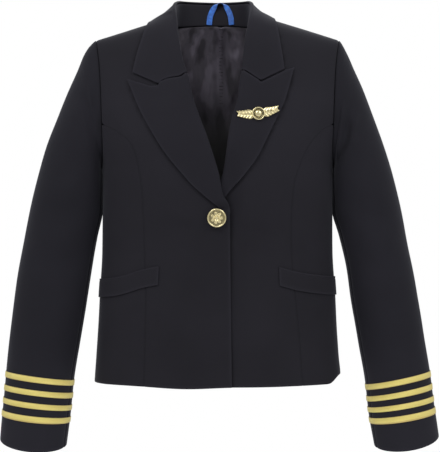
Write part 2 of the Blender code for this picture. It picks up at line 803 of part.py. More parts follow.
def braid_row(side, up):
    """Sleeve row whose outer point has this height."""
    table = SLEEVE[side]
    ups = [row.outer_up for row in table]
    i = max(k for k in range(len(table) - 1) if ups[k] >= up)
    return sleeve_row(side, i + (ups[i] - up) / (ups[i] - ups[i + 1]))


def make_braids(side, name):
    step = 360 / BRAID_STEPS
    for i in range(BRAID_COUNT):
        middle = BRAIDS[side].lowest_up + BRAIDS[side].pitch * (BRAID_COUNT - 1 - i)
        rows = []
        for up in (middle + BRAID_WIDTH / 2, middle - BRAID_WIDTH / 2):
            row = braid_row(side, up)
            rows.append([sleeve_point(side, row, step * k, BRAID_LIFT)
                         for k in range(BRAID_STEPS + 1)])
        centre = np.mean([p for row in rows for p in row], axis=0)

        def outwards(p, centre=centre):
            return tuple(np.array(p) - centre)

        cloth(f"braid_{name}_{i + 1}", rows, outwards, thickness=BRAID,
              colour=GOLD_BRAID_COLOUR, closed=True, metallic=0.4, roughness=0.45)


def make_welt(side, name):
    first = turn_of(WELT_INNER[side], WELT_MIDDLE_UP)
    last = math.radians(WELT_END_TURN)
    rows = []
    for drop in (0.0, 0.5, 1.0):
        row = []
        for c in range(WELT_COLUMNS + 1):
            turn = first + (last - first) * c / WELT_COLUMNS
            out = out_of(turn, WELT_MIDDLE_UP)
            up = through([p[0] for p in WELT_TOP[side]], [p[1] for p in WELT_TOP[side]], out)
            up -= WELT_HEIGHT * drop
            row.append(lifted(side * out_of(turn, up), up, -1, WELT_LIFT))
        rows.append(row)
    cloth("welt_" + name, rows, from_body(1))


def lining_top(x):
    side = LEFT if x > 0 else RIGHT
    neck = NECK_POINT[side]
    at_neck = back_neck_up(side, min(abs(x), neck)) + LINING_ABOVE_NECK
    at_shoulder = shoulder_up(x) - LINING_BELOW_SHOULDER
    turned = smooth_step(*(neck + d for d in LINING_TOP_TURNS), abs(x))
    return at_neck + (at_shoulder - at_neck) * turned


def make_lining():
    pleat = turn_of(PLEAT_OUT, CHEST_UP) / math.radians(LINING_TURN)
    half = LINING_HALF_COLUMNS
    shares = [k / half for k in range(-half, half + 1) if k]
    shares += [pleat - PLEAT_COLUMN, pleat, pleat + PLEAT_COLUMN]

    def lining_edge(up):
        reach = math.radians(LINING_TURN)
        if up > UNDERARM_UP:
            reach = min(reach, turn_of(line(ARMHOLE, RIGHT, up) - LINING_BEFORE_ARMHOLE, up))
        return reach

    heights = [LINING_HEM_UP] + LOW_ROWS[1:]
    places = [(up, 0.0) for up in heights] + [(CHEST_UP, share) for share in LINING_SHARES]
    rows = []
    for start, share in places:
        row = []
        for across in sorted(shares):
            up = start
            for _ in range(6 if share else 1):
                x = out_of(across * lining_edge(up), up)
                up = start + (lining_top(x) - start) * share
            x = out_of(across * lining_edge(up), up)
            fold = math.exp(-((x - PLEAT_OUT) / PLEAT_WIDTH) ** 2)
            fold *= smooth_step(PLEAT_END_UP, PLEAT_FULL_UP, up)
            row.append(lifted(x, up, 1, -CLOTH - LINING_GAP - PLEAT_DEPTH * fold))
        rows.append(row)
    cloth("back_lining", rows, from_body(-1), thickness=LINING, colour=LINING_COLOUR,
          roughness=0.4)


def stand_back(x, up):
    """How far back the outer face of the stand lies near the centre back."""
    side = LEFT if x > 0 else RIGHT
    last = len(COLLAR[side]) - 1
    folds = [collar_row(side, last - step / STATIONS_PER_ROW)[0] for step in range(4)]
    fold = float(np.interp(abs(x), [abs(p[0]) for p in folds], [p[1] for p in folds]))
    foot = on_body(x, NECK_BACK_UP, 1)[1] - LOOP_FOOT_SETBACK
    return foot + (fold - foot) * (up - NECK_BACK_UP) / (STAND_TOP_UP - NECK_BACK_UP)


def make_hanger_loop():
    """Tape sewn flat to the stand at both feet, and turned edge-on where it folds over."""
    half = [np.array([-row.half, row.up]) for row in LOOP]
    path = half + [p * (-1, 1) for p in reversed(half[:-1])]
    turned = [row.turned for row in LOOP]
    turned += turned[-2::-1]
    strip = []
    for i, centre in enumerate(path):
        along = path[min(i + 1, len(path) - 1)] - path[max(i - 1, 0)]
        along = along / np.linalg.norm(along)
        flat = np.array([-along[1], 0, along[0]])
        width = flat * (1 - turned[i]) + np.array([0, 1, 0]) * turned[i]
        width = width / np.linalg.norm(width) * LOOP_WIDTH / 2
        x = LOOP_CENTRE + centre[0]
        back = stand_back(x, centre[1]) - CLOTH - LOOP_GAP - abs(width[1])
        middle = np.array([x, back, centre[1]])
        pair = [middle - width, middle + width]
        for end in pair:
            end[1] = min(end[1], stand_back(end[0], end[2]) - CLOTH - LOOP_GAP)
        strip.append(pair)
    cloth("hanger_loop", strip, lambda p: (0, -1, 0), thickness=LOOP_THICK, colour=TAPE_COLOUR,
          roughness=0.5)


def facing_cloth(p, normal):
    """Matrix that stands an object on the cloth with its own Z along the normal."""
    turned = Vector(normal).to_track_quat("Z", "Y").to_matrix().to_4x4()
    return Matrix.Translation(Vector(p) * MM) @ turned


def make_button():
    mesh = bpy.data.meshes.new("button")
    points = [(radius * MM, 0, height * MM) for radius, height in reversed(BUTTON)]
    mesh.from_pydata(points, [(i, i + 1) for i in range(len(points) - 1)], [])
    obj = new_object("button", mesh, GILT_COLOUR, 1.0, 0.3)
    turned = obj.modifiers.new("Turned", "SCREW")
    turned.steps = BUTTON_STEPS
    turned.render_steps = BUTTON_STEPS
    turned.use_merge_vertices = True
    turned.merge_threshold = 0.01 * MM
    seat = on_body(BUTTON_OUT, BUTTON_UP, -1)
    normal = outward(seat)
    obj.matrix_world = facing_cloth(seat + normal * BUTTON_GAP, normal)


def pin_outline():
    """Two sprays of leaves as one lobed bar, pointed at both ends."""
    points = []
    steps = PIN_LEAVES * PIN_LEAF_STEPS
    for side in (1, -1):
        for i in range(steps + 1):
            share = i / steps * 2 - 1
            lobe = abs(math.sin(share * PIN_LEAVES * math.pi)) ** PIN_LEAF_SHAPE
            half = PIN_STEM_HALF + (PIN_LEAF_HALF - PIN_STEM_HALF) * lobe
            half *= math.sqrt(max(1 - abs(share) ** 3, 0.0))
            points.append((side * share * PIN_HALF_LENGTH,
                           side * half + PIN_RISE * share ** 2))
    return [p for i, p in enumerate(points) if i == 0 or math.dist(p, points[i - 1]) > 0.01]


def make_pin():
    curve = bpy.data.curves.new("pin_outline", "CURVE")
    curve.dimensions = "2D"
    curve.fill_mode = "BOTH"
    curve.extrude = PIN_THICK / 2 * MM
    outline = pin_outline()[:-1]
    spline = curve.splines.new("POLY")
    spline.points.add(len(outline) - 1)
    for point, (a, b) in zip(spline.points, outline):
        point.co = (a * MM, b * MM, PIN_THICK / 2 * MM, 1)
    spline.use_cyclic_u = True
    flat = bpy.data.objects.new("pin_outline", curve)
    bpy.context.scene.collection.objects.link(flat)
    bpy.context.view_layer.update()
    graph = bpy.context.evaluated_depsgraph_get()
    mesh = bpy.data.meshes.new_from_object(flat.evaluated_get(graph))
    bpy.data.objects.remove(flat)
    bm = bmesh.new()
    bm.from_mesh(mesh)
    bmesh.ops.remove_doubles(bm, verts=bm.verts, dist=0.01 * MM)
    bmesh.ops.recalc_face_normals(bm, faces=bm.faces)
    bm.to_mesh(mesh)
    bm.free()
    obj = new_object("lapel_pin", mesh, GILT_COLOUR, 1.0, 0.3)
    disc = bpy.data.meshes.new("pin_boss")
    bm = bmesh.new()
    bmesh.ops.create_cone(bm, cap_ends=True, segments=PIN_DISC_SIDES, radius1=PIN_DISC * MM,
                          radius2=PIN_DISC_TOP * MM, depth=PIN_DISC_THICK * MM)
    bm.to_mesh(disc)
    bm.free()
    boss = bpy.data.objects.new("pin_boss", disc)
    bpy.data.collections["Cutters"].objects.link(boss)
    boss.hide_render = True
    boss.display_type = "WIRE"
    boss.parent = obj
    boss.location.z = (PIN_DISC_THICK / 2 - PIN_DISC_SUNK) * MM
    union = obj.modifiers.new("Boss", "BOOLEAN")
    union.operation = "UNION"
    union.object = boss
    seat = on_body(PIN_OUT, PIN_UP, -1)
    normal = outward(seat)
    tilt = Matrix.Rotation(math.radians(PIN_TILT), 4, "Z")
    x_axis = Vector((1, 0, 0)) - Vector(normal) * normal[0]
    x_axis.normalize()
    y_axis = Vector(normal).cross(x_axis)
    frame = Matrix((x_axis, y_axis, Vector(normal))).transposed().to_4x4()
    obj.matrix_world = Matrix.Translation(Vector(seat + normal * PIN_LIFT) * MM) @ frame @ tilt


def main():
    for obj in list(bpy.data.objects):
        bpy.data.objects.remove(obj, do_unlink=True)
    for name in ("Fitted blazer", "Cutters"):
        collection = bpy.data.collections.new(name)
        bpy.context.scene.collection.children.link(collection)
    for side, name in SIDES:
        make_front(side, name)
        make_side_front(side, name)
        make_back(side, name)
        make_lapel(side, name)
        make_sleeve(side, name)
        make_braids(side, name)
        make_welt(side, name)
    make_collar()
    make_stand()
    make_lining()
    make_hanger_loop()
    make_button()
    make_pin()


main()
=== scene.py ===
import math

import bmesh
import bpy
import numpy as np
from bpy.props import FloatProperty, FloatVectorProperty, PointerProperty
from bpy.types import Operator, Panel, PropertyGroup
from mathutils import Matrix, Vector


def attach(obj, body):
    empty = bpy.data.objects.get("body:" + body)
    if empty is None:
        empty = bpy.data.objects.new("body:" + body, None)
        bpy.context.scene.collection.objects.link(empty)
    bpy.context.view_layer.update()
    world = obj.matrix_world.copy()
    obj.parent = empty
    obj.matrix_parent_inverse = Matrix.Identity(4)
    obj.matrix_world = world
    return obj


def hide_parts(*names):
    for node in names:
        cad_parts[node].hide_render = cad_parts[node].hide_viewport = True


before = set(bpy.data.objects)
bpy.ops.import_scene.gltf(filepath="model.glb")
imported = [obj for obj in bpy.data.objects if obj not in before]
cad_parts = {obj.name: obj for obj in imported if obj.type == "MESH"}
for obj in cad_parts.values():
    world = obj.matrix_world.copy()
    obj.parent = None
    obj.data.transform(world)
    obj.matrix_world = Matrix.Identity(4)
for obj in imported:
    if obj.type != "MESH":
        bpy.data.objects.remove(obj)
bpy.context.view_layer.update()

bl_info = {
    "name": "Fitted blazer",
    "version": (1, 0, 0),
    "blender": (4, 5, 0),
    "location": "3D View > Sidebar > Blazer",
    "description": "Sews, finishes and lights a fitted blazer over its packed solids",
    "category": "Object",
}

# All tables are in millimetres. "Out" is the distance from the centre plane towards the
# piece's own side, "up" the height and "back" the distance along +Y.
MM = 0.001
RIGHT = -1
LEFT = 1
SIDES = ((RIGHT, "right"), (LEFT, "left"))

# The torso's form: the power of its rounded sections, and the heights that shape it
ROUNDNESS = 2.3
CHEST_UP = -150.0
SHOULDER_TIP_OUT = 192.0
SHOULDER_TIP_UP = -26.5
SHOULDER_SLOPE = 0.31
HEM_UP = -572.0
UNDERARM_UP = -234.0
PRINCESS_TOP_UP = -164.0
# Least thickness of the form along the shoulder's ridge, and the gap at the armhole seams
THREAD = 0.5

# Half width, and depth to the front and to the back, at each height
BODY_UP = [-570, -490, -440, -362, -300, -234, -190, -145, -90, -30, 40]
BODY_WIDTH = [196.5, 191, 188.5, 184, 184, 184, 196, 208, 214, 216, 217]
BODY_FRONT = [106, 103, 98, 91, 98, 110, 113, 109, 103, 98, 94]
BODY_BACK = [105, 102, 94, 78, 82, 91, 95, 97, 95, 92, 88]

ARMHOLE_UP = [-234, -226, -200, -146, -77, -31, 10]
ARMHOLE_OUT = {RIGHT: [184, 182.8, 181, 181.8, 185.5, 192, 198],
               LEFT: [184, 182.8, 181.2, 182.6, 186, 192, 198]}
PRINCESS_UP = [-570, -500, -438, -384, -330, -262, -225, -205, -192, -180, -171, -164]
PRINCESS_OUT = {RIGHT: [114, 112.5, 111.6, 113.5, 115, 118, 124, 130, 137, 150, 166, 181],
                LEFT: [133, 127.5, 122, 117, 115, 119, 130, 139, 147, 157, 167.5, 181]}

# The line along which lapel and collar turn back, then the closed front edge below it
BREAK_UP = -292.0
ROLL_UP = [-570, -330, -300, -290, -276, -243, -186, -165, -124, -96, -81, -50, -8, 12, 30]
ROLL_OUT = {
    RIGHT: [-22.5, -19.5, -19, -17, -9, -2.3, 15.5, 23.5, 38, 44, 47.5, 57, 62.3, 66.6, 68],
    LEFT: [-20, -20, -20, -17, -9, 8.5, 16.5, 20.3, 31.3, 34.7, 38, 40.6, 47, 54.6, 57]}
# How far a wall's own edge lies behind the visible fold, and where that starts over the break
ROLL_REACH = 4.4
ROLL_STARTS = (BREAK_UP - 4, BREAK_UP + 30)
NECK_POINT = {RIGHT: 71.0, LEFT: 59.0}
NECK_BACK_UP = 4.0

# Outer edge of each lapel: heights, and distances out
LAPEL_OUTER = {
    RIGHT: ([-296, -293.3, -285.6, -272.6, -257.1, -243.4, -229.7, -207.3, -186, -146, -96],
            [-2, -1.2, 8.2, 23.7, 40.9, 52.9, 64.8, 82.2, 95.9, 118.3, 140]),
    LEFT: ([-296, -279, -265.8, -252, -241, -231.4, -221, -159, -128, -80],
           [-2, 12, 22.7, 34.8, 43.5, 50.3, 58.2, 89.7, 104.2, 119.2]),
}
# The top edge of each lapel, from the roll line along the gorge seam and the notch to the peak
LAPEL_TOP = {
    RIGHT: [(0.0, -87.6), (0.07, -92.4), (0.32, -95.2), (0.46, -100.5), (0.475, -105.8),
            (0.61, -106.6), (1.0, -94.5)],
    LEFT: [(0.0, -83.6), (0.32, -97.6), (0.345, -101.5), (0.84, -80.5), (1.0, -76.6)],
}
LAPEL_TOP_BASE = {RIGHT: -96.0, LEFT: -80.0}
LAPEL_BEND_FROM = -132.0
# Height of a turned leaf over the wall, and how much more it has at its fold
LEAF_LIFT = 1.8
LEAF_ROLL = 2.0
# How far a lapel's lowest end lies inside the front that it grows out of
LEAF_SUNK = 3.2

# Collar stations from the notch to the centre back: fold out, back, up, then edge out, back, up
COLLAR = {
    RIGHT: [(51, None, -86, 132, None, -84.5), (58.5, None, -62, 126.5, None, -60),
            (63.5, None, -36, 119.5, None, -35), (66.7, None, -8, 113.5, None, -15),
            (68, -20, 18, 106.5, 0, 2.2), (66, 12, 32, 98, 33, -3),
            (59, 37, 36.5, 80, 56, -13), (38, 56, 37, 46, 70, -18), (0, 64, 36.5, 0, 76, -20)],
    LEFT: [(41.5, None, -82, 104, None, -79.5), (44, None, -60, 101, None, -58),
           (46, None, -36, 97.5, None, -35), (51.4, None, -8, 94, None, -14),
           (54, -20, 18, 88, 0, 8.2), (53, 12, 32, 81.5, 32, 1),
           (47.5, 37, 36.5, 67, 56, -10), (31, 56, 37, 38, 70, -18), (0, 64, 36.5, 0, 76, -20)],
}
COLLAR_END = {
    RIGHT: [(0.0, 0.0), (0.07, -5.6), (0.30, -8.6), (0.46, -13.5), (0.48, -18.5), (1.0, 0.0)],
    LEFT: [(0.0, 0.0), (0.30, -13.0), (0.40, -17.5), (1.0, 0.0)],
}
# Steps from one of these stations to the next, and where the stand starts
STATION_STEPS = 6
STAND_FROM = 3.5
STAND_GAP = 0.8
STAND_WALL = 2.0
# At the back the stand's foot covers the lining's top: how far in, how high at the centre back,
# and how much lower beside the neck
STAND_FOOT_IN = 3.4
STAND_FOOT_UP = 1.2
STAND_FOOT_DROP = 4.5
# Between these stations the stand's foot passes from the neck seam to that level
STAND_TAKES_FOOT = (4.3, 5.2)
STAND_TOP_UP = 36.5
# Height of the front neck edge at the stations before the neck point
FRONT_NECK = [(3.0, -8.0), (4.0, 4.0), (4.6, 9.5)]
NECK_POINT_STATION = 4.6
COLLAR_BULGE = 2.2

# Profile of a turned edge on the side that faces the wall: past the wall's edge, and lift
TURN = [(1.4, 0.1), (2.2, 0.5), (2.6, 1.5), (1.9, 2.7), (0.2, 3.2)]

# Sleeve rings: outer out, outer up, inner out, inner up, depth each way, centre back, dip
SLEEVE = {
    RIGHT: [(206, -37.4, 184.0, -240, 55.5, 2, 0), (214, -51, 183.9, -250, 56.5, 2, 0),
            (223.5, -73.6, 183.9, -261, 57.5, 2, 0), (238, -105.6, 183.9, -272, 58.5, 2, 0),
            (256.8, -153.6, 183.9, -286, 59, 3, 0), (276, -201.6, 184.0, -302, 59, 4, 0),
            (297, -281.6, 192, -340, 57.5, 5, 0), (310, -345.6, 200, -388, 55, 4, 0),
            (321, -409.6, 208.5, -440, 52, 1, 0), (330.5, -489.6, 219, -508, 49, -5, 0),
            (336.8, -553.6, 228.3, -568, 46.5, -11, 0), (341.3, -610, 233.8, -622, 45, -16, 2),
            (345.2, -660.5, 239.8, -669.5, 43.5, -20, 13.5)],
    LEFT: [(202, -37.4, 183.9, -240, 55.5, 2, 0), (209, -51, 183.7, -250, 56.5, 2, 0),
           (218.5, -73.6, 183.8, -261, 57.5, 2, 0), (232.8, -105.6, 183.9, -272, 58.5, 2, 0),
           (251, -153.6, 184.0, -286, 59, 3, 0), (268.6, -201.6, 184.1, -302, 59, 4, 0),
           (290.4, -281.6, 195, -340, 57.5, 5, 0), (303.2, -345.6, 205.2, -384, 55, 4, 0),
           (316, -409.6, 213.2, -438, 52, 1, 0), (328.8, -489.6, 225.4, -508, 49, -5, 0),
           (338.4, -553.6, 236, -575, 46.5, -11, 0), (345.5, -610, 241.6, -627, 45, -16, 2),
           (352.2, -655.5, 249.2, -670, 43.5, -20, 13.5)],
}
# How far past the armhole seam the sleeve's first rings lie, and the share of the armhole's own
# depth that each ring keeps
HEAD_LEADS = (0.0, 1.0, 3.0)
HEAD_EASE = [0.8, 0.6, 0.4, 0.24, 0.1, 0.0]
# Both sleeve seams, in degrees round the ring from its outer point over its front
FRONT_SEAM = 160.0
BACK_SEAM = 255.0
SLEEVE_SEAM_OVERLAP = 0.25
BRAID_COUNT = 4
BRAID_WIDTH = 8.6
BRAID_THREAD = 1.3
# Height of the lowest braid's middle at the sleeve's outer point, and the pitch
BRAIDS = {RIGHT: (-618.3, 20.1), LEFT: (-614.4, 18.9)}
BRAID_LIFT = 0.35
# Section of a braid: share of its width, and height
BRAID_PROFILE = [(0.5, 0.0), (0.46, 0.12), (0.25, 0.2), (0.0, 0.22), (-0.25, 0.2),
                 (-0.46, 0.12), (-0.5, 0.0)]

# Top edge of each welt: distances out, and heights
WELT_TOP = {
    RIGHT: ([91.5, 114, 157, 184], [-385.7, -390.3, -403.5, -407]),
    LEFT: ([96.4, 124, 168, 184], [-387, -394.8, -401.5, -403]),
}
WELT_HEIGHT = 29.5
WELT_INNER = {RIGHT: 91.5, LEFT: 96.0}
WELT_LIFT = 0.5
WELT_MIDDLE_UP = -400.0
WELT_END_TURN = 85.0
# The stitched groove under a welt's top edge: depth, and place and width as shares of its height
WELT_GROOVE = 0.7
WELT_GROOVE_AT = 0.115
WELT_GROOVE_WIDTH = 0.02
WELT_ROWS = [0.0, 0.02, 0.05, 0.08, 0.1, 0.115, 0.13, 0.15, 0.19, 0.26, 0.4, 0.6, 0.8, 0.92,
             0.98, 1.0]

# Left front where it passes under the right one: between which distances out it comes up again,
# and how deep it lies at each height
UNDERLAP_OUT = 46.0
UNDERLAP_IN = 18.0
UNDERLAP = [(-570, 3.2), (-350, 3.4), (-300, 8.5), (-240, 8.5), (-205, 0.0), (0, 0.0)]

BUTTON_OUT = -1.0
BUTTON_UP = -310.0
BUTTON_GAP = 0.4
BUTTON_FACE = 12.2
BUTTON_DOME = 1.4
# How far the face lies under its rim's foot
BUTTON_FACE_SUNK = 0.6
# How dark the button's ground is, from 0 to 1
BUTTON_HOLLOW = 0.75
# Turned profile of the button and its shank: radius, and height above the cloth
BUTTON_PROFILE = [(0.0, 0.0), (3.0, 0.0), (3.0, 2.5), (13.6, 2.6), (14.7, 3.1), (15.0, 3.9),
                  (14.9, 4.6), (14.3, 5.4), (13.5, 5.75), (12.7, 5.5), (12.2, 4.95)]

PIN_OUT = 62.6
PIN_UP = -150.0
PIN_HALF_LENGTH = 31.0
PIN_TILT = 8.6
PIN_LIFT = 5.2
# How far both ends rise above the middle
PIN_RISE = 3.5
PIN_BAR = (50, 2.4, 1.0)
PIN_LEAF_PAIRS = 5
# Turned profile of the pin's boss, and between which radii its dark ring lies
PIN_BOSS = [(0.0, 0.0), (10.0, 0.0), (10.3, 0.5), (10.3, 2.4), (9.9, 3.2), (9.2, 3.5),
            (8.5, 3.2), (8.2, 2.6), (8.0, 2.2), (5.4, 2.3), (5.1, 2.9), (4.4, 3.6),
            (3.0, 4.1), (1.4, 4.4), (0.0, 4.45)]
PIN_RING = (5.2, 8.3)
# The boss's beads: how many, their radius, and where they sit out and up
PIN_BEADS = 18
BEAD_RADIUS = 0.6
BEAD_OUT = 6.7
BEAD_UP = 2.4

# Half of the hanger loop from foot to top: distance from its middle, height, and how far the
# tape has turned from flat on the stand (0) to edge-on (1)
LOOP_CENTRE = 4.6
LOOP = [(18.2, 2.6, 0), (17.4, 13, 0), (15.4, 21, 0.03), (12.4, 28, 0.14), (9.2, 33, 0.36),
        (6, 36.6, 0.7), (3, 38.6, 0.95), (0, 39.2, 1)]
LOOP_WIDTH = 9.2
LOOP_GAP = 0.6
LOOP_FOOT_SETBACK = 1.0

# The lining's columns, and more of them beside its pleat: share of a turn each way, and count
LINING_COLUMNS = 91
PLEAT_COLUMNS = (0.045, 10)
# Its rows below the chest and above it
LINING_ROWS = (64, 34)
LINING_GAP = 1.4
LINING_HEM_UP = -548.0
PLEAT_OUT = 5.7
PLEAT_DEPTH = 3.5
PLEAT_WIDTH = 5.0
PLEAT_END_UP = -150.0
PLEAT_STITCH = 5.6
LINING_TURN = 74.0
LINING_BEFORE_ARMHOLE = 14.0
LINING_ABOVE_NECK = 2.5
# Where the lining's top leaves the neck for the shoulder, from the neck point outwards
LINING_TOP_TURNS = (-16.0, 25.0)
LINING_BELOW_SHOULDER = 18.0

# Seams: how deep and how far out they sink, and how far each panel runs on into them
SEAM_DEPTH = 1.3
PRINCESS_DEPTH = 0.75
SEAM_REACH = 4.0
SEAM_OVERLAP = 0.45
EDGE_REACH = 5.0
# Hem: how high its sag reaches; middle, width and depth of each sag; rise at the side seams
HEM_SAG_REACH = 45.0
HEM_SAGS = [(-48.0, 62.0, 4.2), (70.0, 60.0, 1.4)]
HEM_SIDE_RISE = {RIGHT: 0.5, LEFT: 13.0}
# How far a panel runs on over the shoulder's ridge, and how much it drops there
RIDGE_OVER = 1.8
RIDGE_DROP = 0.7
# Where each back's columns start, and how far it runs on past the centre, under the other
BACK_START = 0.05
CENTRE_OVER = 1.0
# Creases pressed into a front beside the lapel, the collar and the overlapping edge, each also
# darkened as painted shadow of that edge: how far out their middle lies, their width and their
# share of a full seam
CREASE_OUT = 1.6
CREASE_WIDTH = 1.7
CREASE_SHARE = 1.7
# The collar's outer edge over the fronts: height and distance out
COLLAR_CREASE = {RIGHT: [(-84.5, 132), (-60, 126.5), (-35, 119.5), (-15, 113.5)],
                 LEFT: [(-79.5, 104), (-58, 101), (-35, 97.5), (-14, 94)]}
# Distance from the front edge within which a front keeps still
EDGE_STILL = 16.0

# Heights at which each panel's rows change their spacing, and the rows from each to the next
FRONT_ROWS = ([HEM_UP, -566, -300, -184, -166, CHEST_UP], [3, 46, 30, 8, 5])
SIDE_FRONT_ROWS = ([HEM_UP, -566, -240, -200, -164.5], [3, 52, 11, 20])
BACK_ROWS = ([HEM_UP, -566, -240, CHEST_UP], [3, 44, 20])
LAPEL_ROWS = ([-305, -279, -140], [15, 42, 22])


class Curve:
    """Smooth curve through a table that never overshoots its rows."""

    def __init__(self, stations, values):
        self.x = np.asarray(stations, float)
        self.y = np.asarray(values, float)
        self.step = np.diff(self.x)
        rise = np.diff(self.y) / self.step
        self.slope = np.zeros(len(self.x))
        for i in range(1, len(self.x) - 1):
            if rise[i - 1] * rise[i] > 0:
                self.slope[i] = 2 * rise[i - 1] * rise[i] / (rise[i - 1] + rise[i])
        self.slope[0] = rise[0]
        self.slope[-1] = rise[-1]

    def __call__(self, at):
        at = np.clip(at, self.x[0], self.x[-1])
        i = np.clip(np.searchsorted(self.x, at, side="right") - 1, 0, len(self.x) - 2)
        t = (at - self.x[i]) / self.step[i]
        first = (1 + 2 * t) * (1 - t) ** 2 * self.y[i] + t * (1 - t) ** 2 * self.step[i] * self.slope[i]
        last = t * t * (3 - 2 * t) * self.y[i + 1] - t * t * (1 - t) * self.step[i] * self.slope[i + 1]
        return first + last


WIDTH = Curve(BODY_UP, BODY_WIDTH)
FRONT_DEPTH = Curve(BODY_UP, BODY_FRONT)
BACK_DEPTH = Curve(BODY_UP, BODY_BACK)
ARMHOLE = {side: Curve(ARMHOLE_UP, ARMHOLE_OUT[side]) for side in (RIGHT, LEFT)}
PRINCESS = {side: Curve(PRINCESS_UP, PRINCESS_OUT[side]) for side in (RIGHT, LEFT)}
ROLL = {side: Curve(ROLL_UP, ROLL_OUT[side]) for side in (RIGHT, LEFT)}
LAPEL_EDGE = {side: Curve(*LAPEL_OUTER[side]) for side in (RIGHT, LEFT)}
WELT_EDGE = {side: Curve(*WELT_TOP[side]) for side in (RIGHT, LEFT)}


def straight(points, at):
    """Broken line through (station, value) pairs."""
    return np.interp(at, [p[0] for p in points], [p[1] for p in points])


def smooth_step(low, high, at):
    t = np.clip((np.asarray(at, float) - low) / (high - low), 0.0, 1.0)
    return t * t * (3 - 2 * t)


def graded(stops, counts):
    """Values from stop to stop, with this many from each one to the next."""
    spans = [np.linspace(a, b, n) for a, b, n in zip(stops, stops[1:], counts)]
    return np.concatenate([span[:-1] for span in spans[:-1]] + spans[-1:])


def shoulder_up(out):
    return SHOULDER_TIP_UP + SHOULDER_SLOPE * (SHOULDER_TIP_OUT - np.abs(out))


def rise_share(out, up):
    return np.maximum((up - CHEST_UP) / (shoulder_up(out) - CHEST_UP), 0.0)


def level(p):
    """Below zero inside the torso and above it outside."""
    x, y, z = p[..., 0], p[..., 1], p[..., 2]
    depth = np.where(y < 0, FRONT_DEPTH(z), BACK_DEPTH(z))
    side = 1 - np.abs(x / WIDTH(z)) ** ROUNDNESS
    top = 1 - rise_share(x, z) ** ROUNDNESS
    top = np.where((side < 0) & (top < 0), -top, top)
    return np.abs(y / depth) ** ROUNDNESS - side * top


def gradient(p):
    step = 0.5
    parts = []
    for axis in range(3):
        move = np.zeros(3)
        move[axis] = step
        parts.append((level(p + move) - level(p - move)) / (2 * step))
    return np.stack(parts, axis=-1)


def outward(p):
    g = gradient(p)
    return g / np.linalg.norm(g, axis=-1, keepdims=True)


def on_body(x, up, face):
    """Point of the torso's surface on the front (face -1) or the back (face 1)."""
    x, up = np.broadcast_arrays(np.asarray(x, float), np.asarray(up, float))
    depth = FRONT_DEPTH(up) if face < 0 else BACK_DEPTH(up)
    side = np.maximum(1 - np.abs(x / WIDTH(up)) ** ROUNDNESS, 0.0)
    top = np.maximum(1 - rise_share(x, up) ** ROUNDNESS, 0.0)
    back = depth * (side * top) ** (1 / ROUNDNESS)
    return np.stack([x, face * np.maximum(back, THREAD / 2), up], axis=-1)


def lifted(x, up, face, lift):
    p = on_body(x, up, face)
    return p + outward(p) * np.asarray(lift, float)[..., None]


def clear_of_body(p, least):
    """Points moved out along the surface's normal until they are at least this far from it."""
    for _ in range(6):
        g = gradient(p)
        size = np.linalg.norm(g, axis=-1)
        short = np.maximum(least - level(p) / size, 0.0)
        p = p + g / size[..., None] * short[..., None]
    return p


def turn_of(out, up):
    """Angle across a section, 0 at the centre and a quarter turn at the side."""
    share = np.minimum(np.abs(out) / WIDTH(up), 1.0)
    return np.copysign(np.arcsin(share ** (ROUNDNESS / 2)), out)


def out_of(turn, up):
    return np.copysign(WIDTH(up) * np.abs(np.sin(turn)) ** (2 / ROUNDNESS), turn)


def roll_edge(side, up):
    """The wall's own edge: behind the visible fold above the break, and on it below."""
    reach = ROLL_REACH * smooth_step(*ROLL_STARTS, up)
    edge = ROLL[side](up) + reach
    blend = smooth_step(-12, 10, up)
    return edge * (1 - blend) + NECK_POINT[side] * blend


def underlap(side, x, up):
    """How far the left front is sunk where the right one covers it."""
    if side == RIGHT:
        return np.zeros(np.shape(x))
    return straight(UNDERLAP, up) * (1 - smooth_step(UNDERLAP_IN, UNDERLAP_OUT, x))


def front_point(side, out, up, lift=0.0):
    p = on_body(side * np.asarray(out, float), up, -1)
    return p + outward(p) * (lift - underlap(side, p[..., 0], p[..., 2]))[..., None]


def side_limit(side, up):
    return np.where(up <= UNDERARM_UP, WIDTH(up), ARMHOLE[side](up) + SEAM_OVERLAP)


def panel_out(inner, outer, shares, up):
    """Distances out of a panel's columns, by their share of the way round between two borders."""
    first = turn_of(inner, up)
    last = turn_of(outer, up)
    return out_of(first + (last - first) * shares, up)


def back_neck_up(side, out):
    neck = NECK_POINT[side]
    return NECK_BACK_UP + (shoulder_up(neck) - NECK_BACK_UP) * (out / neck) ** 4


def spread(count, first=0.8, last=0.8):
    """Shares from 0 to 1 that crowd towards the ends: 0 leaves an end even."""
    t = np.linspace(0, 1, count)
    eased = t - first * (t * (1 - t) ** 2) + last * (t * t * (1 - t))
    return (eased - eased[0]) / (eased[-1] - eased[0])


def to_top(columns_out, top_of, count):
    """Out and height of the rows above the chest, as (row, column), up to the shoulder or neck."""
    share = np.sin(np.radians(90 * spread(count + 1, 0.0, 0.6)[1:])) ** (2 / ROUNDNESS)
    up = np.full((count, columns_out(np.array([CHEST_UP])).shape[-1]), CHEST_UP)
    for _ in range(10):
        out = columns_out(up)
        up = CHEST_UP + (top_of(out) - CHEST_UP) * share[:, None]
    out = columns_out(up)
    up[-1] = top_of(out[-1])
    return out, up


def panel_grid(rows, columns_out, top_of, top_rows):
    """Out and height of a whole panel, as (row, column), from the hem to the shoulder or neck."""
    ups = graded(*rows)[:, None]
    low_out = columns_out(ups)
    high_out, high_up = to_top(columns_out, top_of, top_rows)
    up = np.concatenate([np.broadcast_to(ups, low_out.shape), high_up])
    return np.concatenate([low_out, high_out]), up


